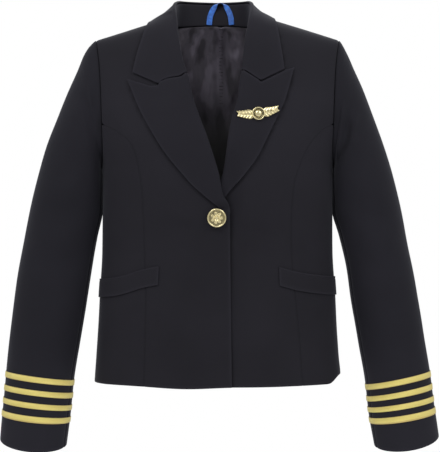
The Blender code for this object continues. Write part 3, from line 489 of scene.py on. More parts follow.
def over_ridge(points, face, neck):
    """Adds a last row that runs over the shoulder's ridge, under the panel it is sewn to."""
    share = 0.15 + 0.85 * smooth_step(neck, neck + 6, np.abs(points[-1][:, 0]))
    step = np.array([0.0, -face * RIDGE_OVER, -RIDGE_DROP]) * share[:, None]
    return np.concatenate([points, [points[-1] + step]])


def unit(v):
    return v / np.maximum(np.linalg.norm(v, axis=-1, keepdims=True), 1e-9)


def grid_normals(points, towards):
    """Normals of a grid of points, turned to the side that towards(points) gives."""
    down = np.gradient(points, axis=0)
    across = np.gradient(points, axis=1)
    normal = unit(np.cross(across, down))
    facing = np.sum(normal * towards(points))
    return normal if facing > 0 else -normal


def arc(points, axis):
    """Running length along the rows (axis 1) or the columns (axis 0)."""
    steps = np.linalg.norm(np.diff(points, axis=axis), axis=2)
    start = np.zeros_like(np.take(steps, [0], axis=axis))
    return np.cumsum(np.concatenate([start, steps], axis=axis), axis=axis)


def from_borders(points):
    """Distance of each point of a grid from its four borders."""
    along = arc(points, 1)
    down = arc(points, 0)
    return {"first_column": along, "last_column": along[:, -1:] - along,
            "first_row": down, "last_row": down[-1:] - down}


def noise(p, size, seed):
    """Soft uneven waves over the points, from about -1 to 1."""
    rng = np.random.default_rng(seed)
    total = np.zeros(p.shape[:-1])
    for _ in range(7):
        wave = rng.normal(size=3)
        wave /= np.linalg.norm(wave)
        total += np.sin(p @ wave / size * 2 * math.pi * rng.uniform(0.6, 1.5) + rng.uniform(0, 6.28))
    return total / 4.0


def fold(points, line, width, height, ends=(0.25, 0.35), lean=1.6):
    """Height of a soft fold along a broken line of (x, z): gentle on one side, steeper on the other."""
    x, z = points[..., 0], points[..., 2]
    line = np.asarray(line, float)
    lengths = np.linalg.norm(np.diff(line, axis=0), axis=1)
    before = np.concatenate([[0.0], np.cumsum(lengths)])
    best = np.full(x.shape, 1e9)
    place = np.zeros(x.shape)
    signed = np.zeros(x.shape)
    for i, (a, b) in enumerate(zip(line[:-1], line[1:])):
        d = (b - a) / lengths[i]
        along = np.clip((x - a[0]) * d[0] + (z - a[1]) * d[1], 0, lengths[i])
        gap_x = x - a[0] - d[0] * along
        gap_z = z - a[1] - d[1] * along
        gap = np.hypot(gap_x, gap_z)
        nearer = gap < best
        best = np.where(nearer, gap, best)
        place = np.where(nearer, (before[i] + along) / before[-1], place)
        signed = np.where(nearer, np.sign(gap_x * d[1] - gap_z * d[0]) * gap, signed)
    broad = np.where(signed > 0, width * lean, width)
    taper = smooth_step(0, ends[0], place) * (1 - smooth_step(1 - ends[1], 1, place))
    return height * np.exp(-(signed / broad) ** 2) * taper


# Folds of the fronts: line of (x, z), width and height, as they lie on the real one
FRONT_FOLDS = [
    ([(-24, -318), (-70, -306), (-112, -296)], 7, 0.9),
    ([(-24, -326), (-66, -334), (-108, -352)], 9, -0.8),
    ([(16, -322), (60, -330), (104, -348)], 9, -0.7),
    ([(20, -306), (66, -292), (110, -276)], 8, 0.7),
    ([(-96, -430), (-92, -480), (-96, -545)], 12, 1.0),
    ([(-68, -440), (-62, -490), (-58, -550)], 14, -0.8),
    ([(-150, -430), (-146, -480), (-150, -550)], 12, -1.0),
    ([(86, -430), (90, -490), (96, -552)], 14, 0.8),
    ([(52, -445), (46, -500), (44, -555)], 15, -0.7),
    ([(152, -425), (158, -480), (160, -550)], 12, 0.9),
    ([(-166, -120), (-150, -160), (-128, -200)], 9, 1.1),
    ([(-172, -150), (-160, -180), (-146, -215)], 7, -0.9),
    ([(168, -112), (156, -150), (140, -196)], 9, 1.0),
    ([(174, -146), (164, -176), (152, -212)], 7, -0.8),
    ([(-176, -330), (-140, -346), (-100, -352)], 10, 0.8),
    ([(176, -326), (146, -342), (112, -350)], 10, 0.8),
]
BACK_FOLDS = [
    ([(-170, -120), (-140, -170), (-96, -220)], 14, 1.4),
    ([(168, -116), (140, -168), (100, -214)], 14, 1.3),
    ([(-176, -160), (-152, -200), (-120, -240)], 10, -1.2),
    ([(176, -156), (150, -196), (122, -236)], 10, -1.1),
    ([(-160, -352), (-80, -362), (-6, -358)], 11, 1.5),
    ([(160, -346), (84, -360), (8, -364)], 11, 1.4),
    ([(-150, -330), (-70, -336), (-10, -340)], 9, -1.1),
    ([(146, -334), (72, -342), (12, -338)], 9, -1.0),
    ([(-70, -400), (-78, -470), (-92, -552)], 18, 1.6),
    ([(66, -404), (76, -476), (84, -552)], 18, 1.5),
    ([(-28, -410), (-34, -480), (-38, -552)], 16, -1.2),
    ([(26, -408), (32, -482), (40, -552)], 16, -1.2),
    ([(-60, -40), (-30, -90), (-14, -150)], 16, 0.9),
    ([(58, -40), (32, -90), (16, -150)], 16, 0.9),
]
# Folds of the sleeves: out and up along a line, width and height, for the face given
SLEEVE_FOLDS = {
    RIGHT: [
        (-1, [(200, -98), (194, -136), (184, -182)], 5, 3.6),
        (-1, [(211, -108), (203, -150), (189, -196)], 6, -2.8),
        (-1, [(222, -116), (212, -156), (196, -200)], 7, 2.0),
        (-1, [(232, -130), (214, -176), (196, -222)], 10, 1.6),
        (-1, [(212, -250), (244, -262), (280, -262)], 10, 1.3),
        (-1, [(206, -286), (240, -302), (284, -304)], 11, -1.4),
        (-1, [(212, -330), (250, -346), (300, -344)], 13, 1.6),
        (-1, [(214, -372), (256, -384), (306, -376)], 12, -1.3),
        (-1, [(236, -420), (250, -480), (262, -540)], 16, 1.2),
        (-1, [(300, -400), (306, -470), (312, -540)], 14, -0.9),
        (1, [(204, -110), (198, -150), (190, -190)], 10, 2.2),
        (1, [(226, -120), (212, -170), (194, -214)], 10, -1.8),
        (1, [(206, -300), (250, -318), (298, -312)], 12, 1.8),
        (1, [(208, -344), (252, -352), (304, -346)], 11, -1.6),
        (1, [(216, -390), (258, -396), (308, -384)], 12, 1.5),
        (1, [(250, -430), (262, -490), (274, -550)], 16, 1.2),
    ],
    LEFT: [
        (-1, [(201, -128), (193, -180), (184, -228)], 5, 3.6),
        (-1, [(209, -134), (201, -184), (187, -232)], 5, -3.0),
        (-1, [(219, -138), (210, -186), (191, -236)], 6, 3.2),
        (-1, [(222, -180), (206, -206), (190, -230)], 8, 1.8),
        (-1, [(206, -256), (240, -268), (276, -266)], 10, 1.2),
        (-1, [(208, -296), (246, -310), (286, -306)], 11, -1.4),
        (-1, [(214, -338), (252, -350), (298, -346)], 13, 1.5),
        (-1, [(220, -384), (262, -392), (308, -380)], 12, -1.2),
        (-1, [(244, -430), (258, -490), (270, -546)], 16, 1.1),
        (-1, [(300, -410), (312, -480), (322, -545)], 14, -0.8),
        (1, [(206, -112), (198, -156), (190, -196)], 10, 2.2),
        (1, [(224, -126), (210, -176), (194, -218)], 10, -1.7),
        (1, [(208, -306), (252, -322), (296, -314)], 12, 1.7),
        (1, [(212, -350), (256, -358), (304, -350)], 11, -1.5),
        (1, [(220, -396), (262, -402), (312, -390)], 12, 1.4),
        (1, [(254, -436), (268, -496), (280, -552)], 16, 1.1),
    ],
}

# Creases in front under each armhole, also darkened as painted shade: out and up along a line,
# width and depth
SLEEVE_CREASES = {
    RIGHT: [([(198, -104), (191, -140), (184, -168), (178, -186)], 3.2, 0.75)],
    LEFT: [([(210, -148), (206, -190), (189, -216), (180, -232)], 3.8, 0.95),
           ([(193, -126), (187, -150), (181, -172)], 3.0, 0.6)],
}


class Nodes:
    """A material's node tree, with short ways to add and join its nodes."""

    def __init__(self, name):
        self.material = bpy.data.materials.new(name)
        self.material.use_nodes = True
        self.tree = self.material.node_tree
        self.shader = self.tree.nodes["Principled BSDF"]

    def add(self, kind, inputs=(), **values):
        node = self.tree.nodes.new(kind)
        for key, value in values.items():
            setattr(node, key, value)
        for key, value in dict(inputs).items():
            self.join(value, node.inputs[key])
        return node

    def join(self, value, socket):
        if isinstance(value, bpy.types.NodeSocket):
            self.tree.links.new(value, socket)
        else:
            socket.default_value = value

    def math(self, operation, a, b=0.0, c=0.0):
        return self.add("ShaderNodeMath", {0: a, 1: b, 2: c}, operation=operation).outputs[0]

    def place(self, uv, scale, turn=0.0):
        """Coordinates in metres, scaled and turned in their own plane."""
        start = (self.add("ShaderNodeUVMap", uv_map="Cloth").outputs[0] if uv
                 else self.add("ShaderNodeTexCoord").outputs["Object"])
        return self.add("ShaderNodeMapping", {"Vector": start, "Scale": scale,
                                              "Rotation": (0, 0, turn)}).outputs[0]

    def noise(self, where, scale, detail=2.0, roughness=0.5):
        return self.add("ShaderNodeTexNoise", {"Vector": where, "Scale": scale, "Detail": detail,
                                               "Roughness": roughness}).outputs["Fac"]

    def mix(self, factor, a, b):
        node = self.tree.nodes.new("ShaderNodeMix")
        node.data_type = "RGBA"
        self.join(factor, node.inputs["Factor"])
        self.join(a, node.inputs["A"])
        self.join(b, node.inputs["B"])
        return node.outputs["Result"]

    def ranged(self, value, low, high, to_low=0.0, to_high=1.0):
        return self.add("ShaderNodeMapRange", {"Value": value, "From Min": low, "From Max": high,
                                               "To Min": to_low, "To Max": to_high}).outputs[0]

    def bump(self, height, distance, strength, under=None):
        inputs = {"Height": height, "Distance": distance, "Strength": strength}
        if under is not None:
            inputs["Normal"] = under
        return self.add("ShaderNodeBump", inputs).outputs[0]

    def wave(self, where, scale, **values):
        return self.add("ShaderNodeTexWave", {"Vector": where, "Scale": scale},
                        **values).outputs["Fac"]

    def split(self, where):
        return self.add("ShaderNodeSeparateXYZ", {0: where}).outputs

    def attribute(self, name):
        return self.add("ShaderNodeAttribute", attribute_name=name).outputs["Fac"]

    def finish(self, colour, normal, roughness, **sockets):
        self.join(colour, self.shader.inputs["Base Color"])
        self.join(normal, self.shader.inputs["Normal"])
        self.join(roughness, self.shader.inputs["Roughness"])
        for key, value in sockets.items():
            self.shader.inputs[key.replace("_", " ")].default_value = value
        return self.material


BRAID_EDGE_COLOUR = (0.55, 0.32, 0.07, 1)
BRAID_GLINT_COLOUR = (1.0, 0.9, 0.62, 1)
GROUND_COLOUR = (0.03, 0.024, 0.012, 1)


def shade(colour, factor):
    """A colour made darker or lighter."""
    return (*[min(c * factor, 1.0) for c in colour], 1.0)


def suiting(name, colour, twill_turn=0.78, painted_light_bands=()):
    """Wool suiting: fine twill, stray fibres, uneven dye, paler pressed edges, painted shade in the
    sunk seams and creases, and bands of painted light.

    Each band of painted light is given by the heights where it starts, is full and ends, and its share.
    """
    n = Nodes(name)
    flat = n.place(True, (1, 1, 1), twill_turn)
    twill = n.add("ShaderNodeTexWave", {"Vector": flat, "Scale": 260.0, "Distortion": 0.6,
                                        "Detail": 1.0, "Detail Scale": 3.0}).outputs["Fac"]
    weft = n.wave(n.place(True, (1, 1, 1)), 420.0, bands_direction="Y")
    here = n.place(False, (1, 1, 1))
    fibres = n.noise(here, 1400.0, 2.0, 0.7)
    slub = n.noise(here, 240.0, 3.0, 0.6)
    dye = n.noise(here, 9.0, 3.0, 0.55)
    tone = n.mix(n.ranged(dye, 0.3, 0.7), shade(colour, 0.86), shade(colour, 1.12))
    tone = n.mix(n.math("MULTIPLY", n.ranged(fibres, 0.35, 0.75), 0.4), tone, shade(colour, 1.6))
    tone = n.mix(n.math("MULTIPLY", twill, 0.22), tone, shade(colour, 0.6))
    up = n.split(here)[2]
    # Painted light: lighter bands at the given heights, where the light falls stronger on the cloth.
    for start, full, end, share in painted_light_bands:
        painted_band_mask = n.math("MULTIPLY", n.ranged(up, start, full), n.ranged(up, end, (full + end) / 2))
        tone = n.mix(n.math("MULTIPLY", painted_band_mask, share), tone, shade(colour, 2.0))
    tone = n.mix(n.math("MULTIPLY", n.attribute("pressed"), 0.5), tone, shade(colour, 1.75))
    # Painted shade: darker in the sunk seams and creases, from the seam attribute.
    tone = n.mix(n.math("MULTIPLY", n.attribute("seam"), 0.6), tone, shade(colour, 0.45))
    height = n.math("ADD", n.math("MULTIPLY", twill, 0.7), n.math("MULTIPLY", weft, 0.3))
    soft = n.bump(slub, 0.00025, 0.5)
    normal = n.bump(height, 0.0001, 0.6, n.bump(fibres, 0.0001, 0.5, soft))
    rough = n.ranged(fibres, 0.3, 0.8, 0.78, 0.95)
    return n.finish(tone, normal, rough, Sheen_Weight=0.14, Sheen_Roughness=0.4,
                    Sheen_Tint=(0.72, 0.74, 0.86, 1), Specular_IOR_Level=0.16)


def satin(name, colour):
    """Lining satin: streaks along the warp, patches of painted light and shade for its folds, painted
    shade that darkens it low down, and pleat stitches.
    """
    n = Nodes(name)
    streak = n.noise(n.place(True, (1, 0.04, 1)), 380.0, 3.0, 0.6)
    weave = n.wave(n.place(True, (1, 1, 1), 0.5), 620.0)
    rumple = n.noise(n.place(False, (1, 1, 0.5)), 26.0, 3.0, 0.5)
    tone = n.mix(n.ranged(streak, 0.3, 0.7), shade(colour, 0.92), shade(colour, 1.08))
    # Painted light and shade: stretched patches made darker and lighter, standing in for the satin's
    # folds catching and losing the light.
    painted_fold_light = n.noise(n.place(False, (1, 1, 0.35)), 44.0, 2.0, 0.5)
    tone = n.mix(n.ranged(painted_fold_light, 0.50, 0.38), tone, shade(colour, 0.42))
    tone = n.mix(n.ranged(painted_fold_light, 0.56, 0.66), tone, shade(colour, 1.7))
    here = n.split(n.place(False, (1, 1, 1)))
    # Painted shade: the lining grows much darker lower down, where shade falls deep inside the body.
    tone = n.mix(n.ranged(here[2], -0.10, -0.19), tone, shade(colour, 0.08))
    beside = n.math("ABSOLUTE", n.math("SUBTRACT", here[0], PLEAT_OUT * MM))
    stitch = n.math("SINE", n.math("MULTIPLY", here[2], 2 * math.pi / (PLEAT_STITCH * MM)))
    uneven = n.noise(n.place(False, (1, 1, 1)), 170.0, 2.0, 0.5)
    stitch = n.math("MULTIPLY", n.ranged(stitch, 0.4, 0.8), n.ranged(beside, 0.0036, 0.0026))
    stitch = n.math("MULTIPLY", stitch, n.ranged(uneven, 0.42, 0.58))
    stitch = n.math("MULTIPLY", stitch, n.ranged(here[2], PLEAT_END_UP * MM, -0.11))
    tone = n.mix(n.math("MULTIPLY", stitch, 0.8), tone, shade(colour, 0.3))
    normal = n.bump(weave, 0.00004, 0.5, n.bump(rumple, 0.004, 0.7))
    return n.finish(tone, normal, n.ranged(streak, 0.2, 0.8, 0.32, 0.44), Sheen_Weight=0.02,
                    Specular_IOR_Level=0.4, Anisotropic=0.4)


def braid_cloth(name, colour):
    """Metal-wrapped braid: two slopes of thread meet along its middle, with bound edges."""
    n = Nodes(name)
    flat = n.split(n.place(True, (1 / MM, 1 / MM, 1)))
    across = n.math("ABSOLUTE", n.math("SUBTRACT", flat[1], BRAID_WIDTH / 2))
    slope = n.math("ADD", flat[0], n.math("MULTIPLY", across, 0.9))
    thread = n.math("SINE", n.math("MULTIPLY", slope, 2 * math.pi / BRAID_THREAD))
    thread = n.math("MULTIPLY_ADD", thread, 0.5, 0.5)
    spun = n.noise(n.place(True, (1, 1, 1)), 2600.0, 2.0, 0.6)
    uneven = n.noise(n.place(False, (1, 1, 1)), 60.0, 3.0, 0.6)
    bound = n.ranged(across, BRAID_WIDTH / 2 - 1.1, BRAID_WIDTH / 2 - 0.3)
    tone = n.mix(thread, shade(colour, 0.84), shade(colour, 1.15))
    tone = n.mix(n.ranged(uneven, 0.3, 0.7, 0.0, 0.3), tone, shade(colour, 0.8))
    tone = n.mix(n.math("MULTIPLY", bound, 0.6), tone, BRAID_EDGE_COLOUR)
    tone = n.mix(n.math("MULTIPLY", spun, 0.25), tone, BRAID_GLINT_COLOUR)
    height = n.math("ADD", thread, n.math("MULTIPLY", bound, 0.6))
    normal = n.bump(height, 0.00035, 0.8, n.bump(spun, 0.0001, 0.6))
    return n.finish(tone, normal, n.ranged(spun, 0.3, 0.7, 0.34, 0.5), Metallic=0.2,
                    Specular_IOR_Level=0.7, Sheen_Weight=0.15)


def ribbed_tape(name, colour):
    """Grosgrain tape: fine ribs across it, with a satin face and painted highlights on it."""
    n = Nodes(name)
    ribs = n.add("ShaderNodeTexWave", {"Vector": n.place(True, (1, 1, 1)), "Scale": 300.0,
                                       "Distortion": 0.3}, bands_direction="Y").outputs["Fac"]
    uneven = n.noise(n.place(False, (1, 1, 1)), 160.0, 3.0, 0.6)
    tone = n.mix(ribs, shade(colour, 0.6), shade(colour, 1.15))
    # Painted highlights: uneven paler patches stand in for the sheen of the satin face.
    tone = n.mix(n.ranged(uneven, 0.45, 0.75, 0.0, 0.7), tone, shade(colour, 2.2))
    # Painted shade from the seam attribute, which stays at zero here since the tape's seams are not
    # sunk.
    tone = n.mix(n.math("MULTIPLY", n.attribute("seam"), 0.7), tone, shade(colour, 0.3))
    return n.finish(tone, n.bump(ribs, 0.0002, 0.7), n.ranged(uneven, 0.3, 0.7, 0.32, 0.5),
                    Sheen_Weight=0.3, Specular_IOR_Level=0.5)


def gilt_metal(name, colour):
    """Gilt brass: bright where it is handled, brown in the hollows, finely cast."""
    n = Nodes(name)
    here = n.place(False, (1, 1, 1))
    cast = n.noise(here, 900.0, 4.0, 0.6)
    patches = n.noise(here, 130.0, 3.0, 0.6)
    tone = n.mix(n.ranged(patches, 0.3, 0.7), shade(colour, 0.9), shade(colour, 1.12))
    hollow = n.attribute("hollow")
    tone = n.mix(n.math("MULTIPLY", hollow, 0.93), tone, GROUND_COLOUR)
    rough = n.math("ADD", n.ranged(cast, 0.3, 0.7, 0.17, 0.32), n.math("MULTIPLY", hollow, 0.3))
    return n.finish(tone, n.bump(cast, 0.00006, 0.5), rough, Metallic=1.0)


# What makes each material, its colour's name, and its own settings
MATERIALS = {
    # The suitings' bands of painted light: lighter across the chest, and on the lower sleeves.
    "blazer_suiting": (suiting, "suiting", {"painted_light_bands": [(-0.34, -0.20, -0.05, 0.26)]}),
    "blazer_lapel_suiting": (suiting, "lapel_suiting", {"twill_turn": 0.3}),
    "blazer_sleeve_suiting": (suiting, "sleeve_suiting", {"painted_light_bands": [(-0.50, -0.62, -0.80, 0.28)]}),
    "blazer_satin": (satin, "lining", {}),
    "blazer_gold_braid": (braid_cloth, "braid", {}),
    "blazer_blue_tape": (ribbed_tape, "tape", {}),
    "blazer_gilt": (gilt_metal, "gilt", {}),
}


def material(kind):
    """The piece's material, made on first use."""
    made = bpy.data.materials.get(kind)
    if made is None:
        make, colour, own = MATERIALS[kind]
        made = make(kind, getattr(bpy.context.scene.blazer_colours, colour), **own)
    return made


def link(mesh, name, kind, node):
    """Puts a piece in the scene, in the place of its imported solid."""
    mesh.materials.append(material(kind))
    mesh.shade_smooth()
    obj = bpy.data.objects.new(name, mesh)
    bpy.context.scene.collection.objects.link(obj)
    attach(obj, "root")
    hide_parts(node)
    return obj


def cloth(name, node, points, towards, kind="blazer_suiting", wall=2.0,
          seams=(), edges=(), grain_from=0.0, closed=False,
          rounded=True, seam_depth=SEAM_DEPTH, creases=0.0):
    """Sews one piece: a grid laid on the given points, its seams sunk, then given its thickness.

    The normals turn to the side that towards(points) gives. Seams sink to that side where it
    is inward, and away from it otherwise, or the other way round with a negative depth.
    """
    rows, across = points.shape[:2]
    gaps = from_borders(points)
    normal = grid_normals(points, towards)
    sunk = np.zeros(points.shape[:2]) + creases
    pressed = np.zeros(points.shape[:2])
    for border in seams:
        sunk = np.maximum(sunk, (1 - np.clip(gaps[border] / SEAM_REACH, 0, 1)) ** 2)
    for border in edges:
        pressed = np.maximum(pressed, 1 - np.clip(gaps[border] / EDGE_REACH, 0, 1))
    way = 1 if towards is inward else -1
    points = points + way * normal * (sunk * seam_depth)[..., None]
    flat_u = arc(points, 1) + grain_from
    flat_v = arc(points, 0)
    bm = bmesh.new()
    uv = bm.loops.layers.uv.new("Cloth")
    # The seam attribute carries painted shade: it darkens the sunk seams and creases.
    seam_shade_layer = bm.verts.layers.float.new("seam")
    pressed_layer = bm.verts.layers.float.new("pressed")
    bmesh.ops.create_grid(bm, x_segments=across - 1, y_segments=rows - 1, size=1)
    for vertex in bm.verts:
        c = round((vertex.co.x + 1) / 2 * (across - 1))
        r = round((vertex.co.y + 1) / 2 * (rows - 1))
        vertex[seam_shade_layer] = sunk[r, c] * min(abs(seam_depth) / SEAM_DEPTH, 1.0)
        vertex[pressed_layer] = pressed[r, c]
        vertex.co = points[r, c] * MM
        for loop in vertex.link_loops:
            loop[uv].uv = (flat_u[r, c] * MM, flat_v[r, c] * MM)
    if closed:
        bmesh.ops.remove_doubles(bm, verts=bm.verts, dist=0.01 * MM)
    bmesh.ops.recalc_face_normals(bm, faces=bm.faces)
    bm.normal_update()
    middles = np.array([f.calc_center_median() for f in bm.faces]) / MM
    faces = np.array([f.normal * f.calc_area() for f in bm.faces])
    if np.sum(faces * towards(middles)) < 0:
        bmesh.ops.reverse_faces(bm, faces=bm.faces)
    mesh = bpy.data.meshes.new(name)
    bm.to_mesh(mesh)
    bm.free()
    obj = link(mesh, name, kind, node)
    thicken = obj.modifiers.new("Wall", "SOLIDIFY")
    thicken.thickness = wall * MM
    thicken.offset = 1
    thicken.use_even_offset = False
    if rounded:
        soften = obj.modifiers.new("Soft edges", "SUBSURF")
        soften.levels = 1
        soften.render_levels = 1


def inward(p):
    return -outward(p)


def hem_sag(points):
    """Lets the hem hang lower in front and rise towards the side seams."""
    x, z = points[..., 0], points[..., 2]
    low = 1 - smooth_step(HEM_UP, HEM_UP + HEM_SAG_REACH, z)
    sag = sum(depth * np.exp(-((x - middle) / width) ** 2) for middle, width, depth in HEM_SAGS)
    rise = np.where(x > 0, HEM_SIDE_RISE[LEFT], HEM_SIDE_RISE[RIGHT])
    share = smooth_step(0.9, 1.0, np.abs(x) / WIDTH(z))
    moved = points.copy()
    moved[..., 2] = z + (rise * share - sag * (points[..., 1] < 0)) * low
    return moved


def settle(points, folds, seed):
    """Gives a panel its folds and the slight unevenness of hung cloth."""
    points = hem_sag(points)
    normal = outward(points)
    height = noise(points, 130.0, seed) * 0.5
    for line, width, rise in folds:
        height = height + fold(points, line, width, rise)
    return points + normal * height[..., None]


def front_creases(side, out, up):
    """How hard a front is pressed in beside the leaf or the edge that lies on it, from 0 to 1, which
    also sets the painted shadow there.
    """
    edge = LAPEL_EDGE[side](up)
    slope = (LAPEL_EDGE[side](up + 1) - LAPEL_EDGE[side](up - 1)) / 2
    gap = (out - edge) / np.hypot(1, slope)
    along = smooth_step(-302, -290, up) * (1 - smooth_step(-8, 2, up - LAPEL_TOP_BASE[side]))
    crease = np.exp(-((gap - CREASE_OUT) / CREASE_WIDTH) ** 2) * along
    collar_edge = straight(COLLAR_CREASE[side], up)
    here = smooth_step(-86, -78, up) * (1 - smooth_step(-24, -12, up))
    crease = np.maximum(crease, np.exp(-((out - collar_edge - CREASE_OUT) / CREASE_WIDTH) ** 2)
                        * here)
    if side == LEFT:
        gap = out + ROLL[RIGHT](up)
        under = np.exp(-((gap - CREASE_OUT) / CREASE_WIDTH) ** 2)
        crease = np.maximum(crease, under * (1 - smooth_step(-262, -250, up)))
    return crease * CREASE_SHARE


class BLAZER_OT_fronts(Operator):
    """Lay both fronts, from the closed front edge to the princess seam and up to the shoulder"""
    bl_idname = "blazer.fronts"
    bl_label = "Fronts"

    def execute(self, context):
        for side, name in SIDES:
            def columns(up, side=side):
                outer = np.where(up < PRINCESS_TOP_UP, PRINCESS[side](up), ARMHOLE[side](up))
                shares = spread(42, 0.75, 0.85)[None, :]
                return panel_out(roll_edge(side, up), outer + SEAM_OVERLAP, shares, up)

            out, up = panel_grid(FRONT_ROWS, columns, shoulder_up, 36)
            points = front_point(side, out, up)
            loose = smooth_step(0.0, EDGE_STILL, arc(points, 1))[..., None]
            hung = hem_sag(points)
            points = hung + (settle(points, FRONT_FOLDS, 3 + side) - hung) * loose
            points = over_ridge(points, -1, NECK_POINT[side])
            cloth(f"front_panel_{name}", f"front_{name}", points, inward,
                  seams=("last_column", "last_row"), edges=("first_column", "first_row"),
                  seam_depth=PRINCESS_DEPTH,
                  creases=np.pad(front_creases(side, out, up), ((0, 1), (0, 0))))
        return {"FINISHED"}


class BLAZER_OT_side_fronts(Operator):
    """Lay both side fronts, between the princess seam and the side seam"""
    bl_idname = "blazer.side_fronts"
    bl_label = "Side fronts"

    def execute(self, context):
        for side, name in SIDES:
            ups = graded(*SIDE_FRONT_ROWS)[:, None]
            out = panel_out(PRINCESS[side](ups) - SEAM_OVERLAP, side_limit(side, ups),
                            spread(27, 0.85, 0.85)[None, :], ups)
            points = settle(on_body(side * out, ups, -1), FRONT_FOLDS, 3 + side)
            cloth(f"side_front_panel_{name}", f"side_front_{name}", points, inward,
                  seams=("first_column", "last_column"), edges=("first_row",),
                  grain_from=115.0,
                  seam_depth=PRINCESS_DEPTH)
        return {"FINISHED"}


class BLAZER_OT_backs(Operator):
    """Lay both backs, which meet in the centre back seam"""
    bl_idname = "blazer.backs"
    bl_label = "Backs"

    def execute(self, context):
        for side, name in SIDES:
            neck = NECK_POINT[side]

            def columns(up, side=side, neck=neck):
                """Distances out of the columns, which crowd towards the neck point."""
                middle = turn_of(neck * (1 + 0.15 * smooth_step(0, -400, up)), up)
                share = spread(40, 0.85, 0.5)[None, :]
                inner, outer = np.clip(share * 2, 0, 1), np.clip(share * 2 - 1, 0, 1)
                near = np.sin(inner * math.pi / 2) * middle
                far = outer * (turn_of(side_limit(side, up), up) - middle)
                start = turn_of(np.full_like(up, BACK_START), up) * (1 - inner)
                return out_of(near + far + start, up)

            def top_of(out, side=side, neck=neck):
                return np.where(out >= neck, shoulder_up(out), back_neck_up(side, out))

            out, up = panel_grid(BACK_ROWS, columns, top_of, 32)
            out[:, 0] = -CENTRE_OVER
            points = settle(on_body(side * out, up, 1), BACK_FOLDS, 11 + side)
            points = over_ridge(points, 1, neck)
            cloth(f"back_panel_{name}", f"back_{name}", points, inward,
                  seams=("first_column", "last_column", "last_row"), edges=("first_row",))
        return {"FINISHED"}


def leaf_lift(share, strength=1.0):
    """Height of a turned leaf's hidden side over the wall, from its fold to its free edge."""
    return LEAF_LIFT + LEAF_ROLL * strength * (1 - share) ** 1.5


def lapel_up(side, share, row_up):
    """Height of a lapel's point: its row's height, bent towards the gorge near the top."""
    base = LAPEL_TOP_BASE[side]
    bend = smooth_step(LAPEL_BEND_FROM, base, row_up)
    return row_up + (straight(LAPEL_TOP[side], share) - base) * bend


def fine_turn():
    """The turned edge's profile, in finer steps: past the wall's edge, and lift."""
    at = np.linspace(0, len(TURN) - 1, 2 * len(TURN) - 1)
    return [Curve(range(len(TURN)), values)(at) for values in zip(*TURN)]


# Shares of a lapel's width at which its columns lie
LAPEL_COLUMNS = [0.03, 0.07, 0.12, 0.18, 0.25, 0.32, 0.345, 0.39, 0.43, 0.46, 0.475, 0.50, 0.54,
                 0.58, 0.61, 0.66, 0.71, 0.76, 0.80, 0.84, 0.88, 0.92, 0.95, 0.97, 0.985, 1.0]


class BLAZER_OT_lapels(Operator):
    """Turn both peak lapels back over the fronts"""
    bl_idname = "blazer.lapels"
    bl_label = "Lapels"

    def execute(self, context):
        share = np.array(LAPEL_COLUMNS)
        turn_past, turn_lift = fine_turn()
        stops, counts = LAPEL_ROWS
        for side, name in SIDES:
            rows = []
            for row_up in graded(stops + [LAPEL_TOP_BASE[side]], counts):
                strength = 0.45 + 0.55 * float(smooth_step(-290, -235, row_up))
                shown = float(smooth_step(-303, -282, row_up))
                sunk = LEAF_SUNK * (1 - shown)
                fold_up = lapel_up(side, 0, row_up)
                turned_out = float(smooth_step(*ROLL_STARTS, fold_up))
                past = turn_past * turned_out - 2.0 * (1 - turned_out)
                turned = front_point(side, roll_edge(side, fold_up) - past,
                                     np.full(len(past), fold_up),
                                     turn_lift * strength * shown - sunk)
                up = lapel_up(side, share, row_up)
                start = roll_edge(side, up)
                out = start + (LAPEL_EDGE[side](row_up) - start) * share
                leaf = front_point(side, out, up, leaf_lift(share, strength) * shown - sunk)
                rows.append(np.concatenate([turned, leaf]))
            points = np.array(rows)
            away = smooth_step(4, 14, arc(points, 1))
            wave = noise(points, 90.0, 21 + side) * 0.35
            points = points + outward(points) * (np.maximum(wave, 0) * away)[..., None]
            cloth(f"lapel_leaf_{name}", f"lapel_{name}", points, outward,
                  kind="blazer_lapel_suiting", edges=("last_column", "last_row"))
        return {"FINISHED"}


def collar_curves(side):
    """Curves through the collar's table, which lies on the torso wherever a row gives no depth."""
    rows = []
    for row in COLLAR[side]:
        ends = [row[:3], row[3:]]
        rows.append([value for out, back, up in ends
                     for value in (out, on_body(out, up, -1)[1] if back is None else back, up)])
    return [Curve(range(len(rows)), column) for column in zip(*rows)]


COLLAR_CURVES = {side: collar_curves(side) for side in (RIGHT, LEFT)}


def collar_row(side, at):
    """Fold and outer edge of the collar at a station counted in table rows."""
    v = [float(curve(at)) for curve in COLLAR_CURVES[side]]
    return np.array([side * v[0], v[1], v[2]]), np.array([side * v[3], v[4], v[5]])


def seam_below(side, at):
    """Where the stand is sewn on, on the neck edge of the front and then of the back."""
    neck = NECK_POINT[side]
    if at <= NECK_POINT_STATION:
        up = float(straight(FRONT_NECK, at))
        point = on_body(side * roll_edge(side, up), up, -1)
    else:
        around = (at - NECK_POINT_STATION) / (len(COLLAR[side]) - 1 - NECK_POINT_STATION)
        out = neck * max(math.cos(around * math.pi / 2), 0.0) ** 0.7
        point = on_body(side * out, back_neck_up(side, out), 1)
    return point + np.array([-side * STAND_GAP, 0, STAND_GAP])


def stations(first):
    """(side, station) pairs round the neck, from the right end to the left one."""
    last = (len(COLLAR[RIGHT]) - 1) * STATION_STEPS
    begin = round(first * STATION_STEPS)
    right = [(RIGHT, i / STATION_STEPS) for i in range(begin, last + 1)]
    left = [(LEFT, i / STATION_STEPS) for i in range(last - 1, begin - 1, -1)]
    return right + left


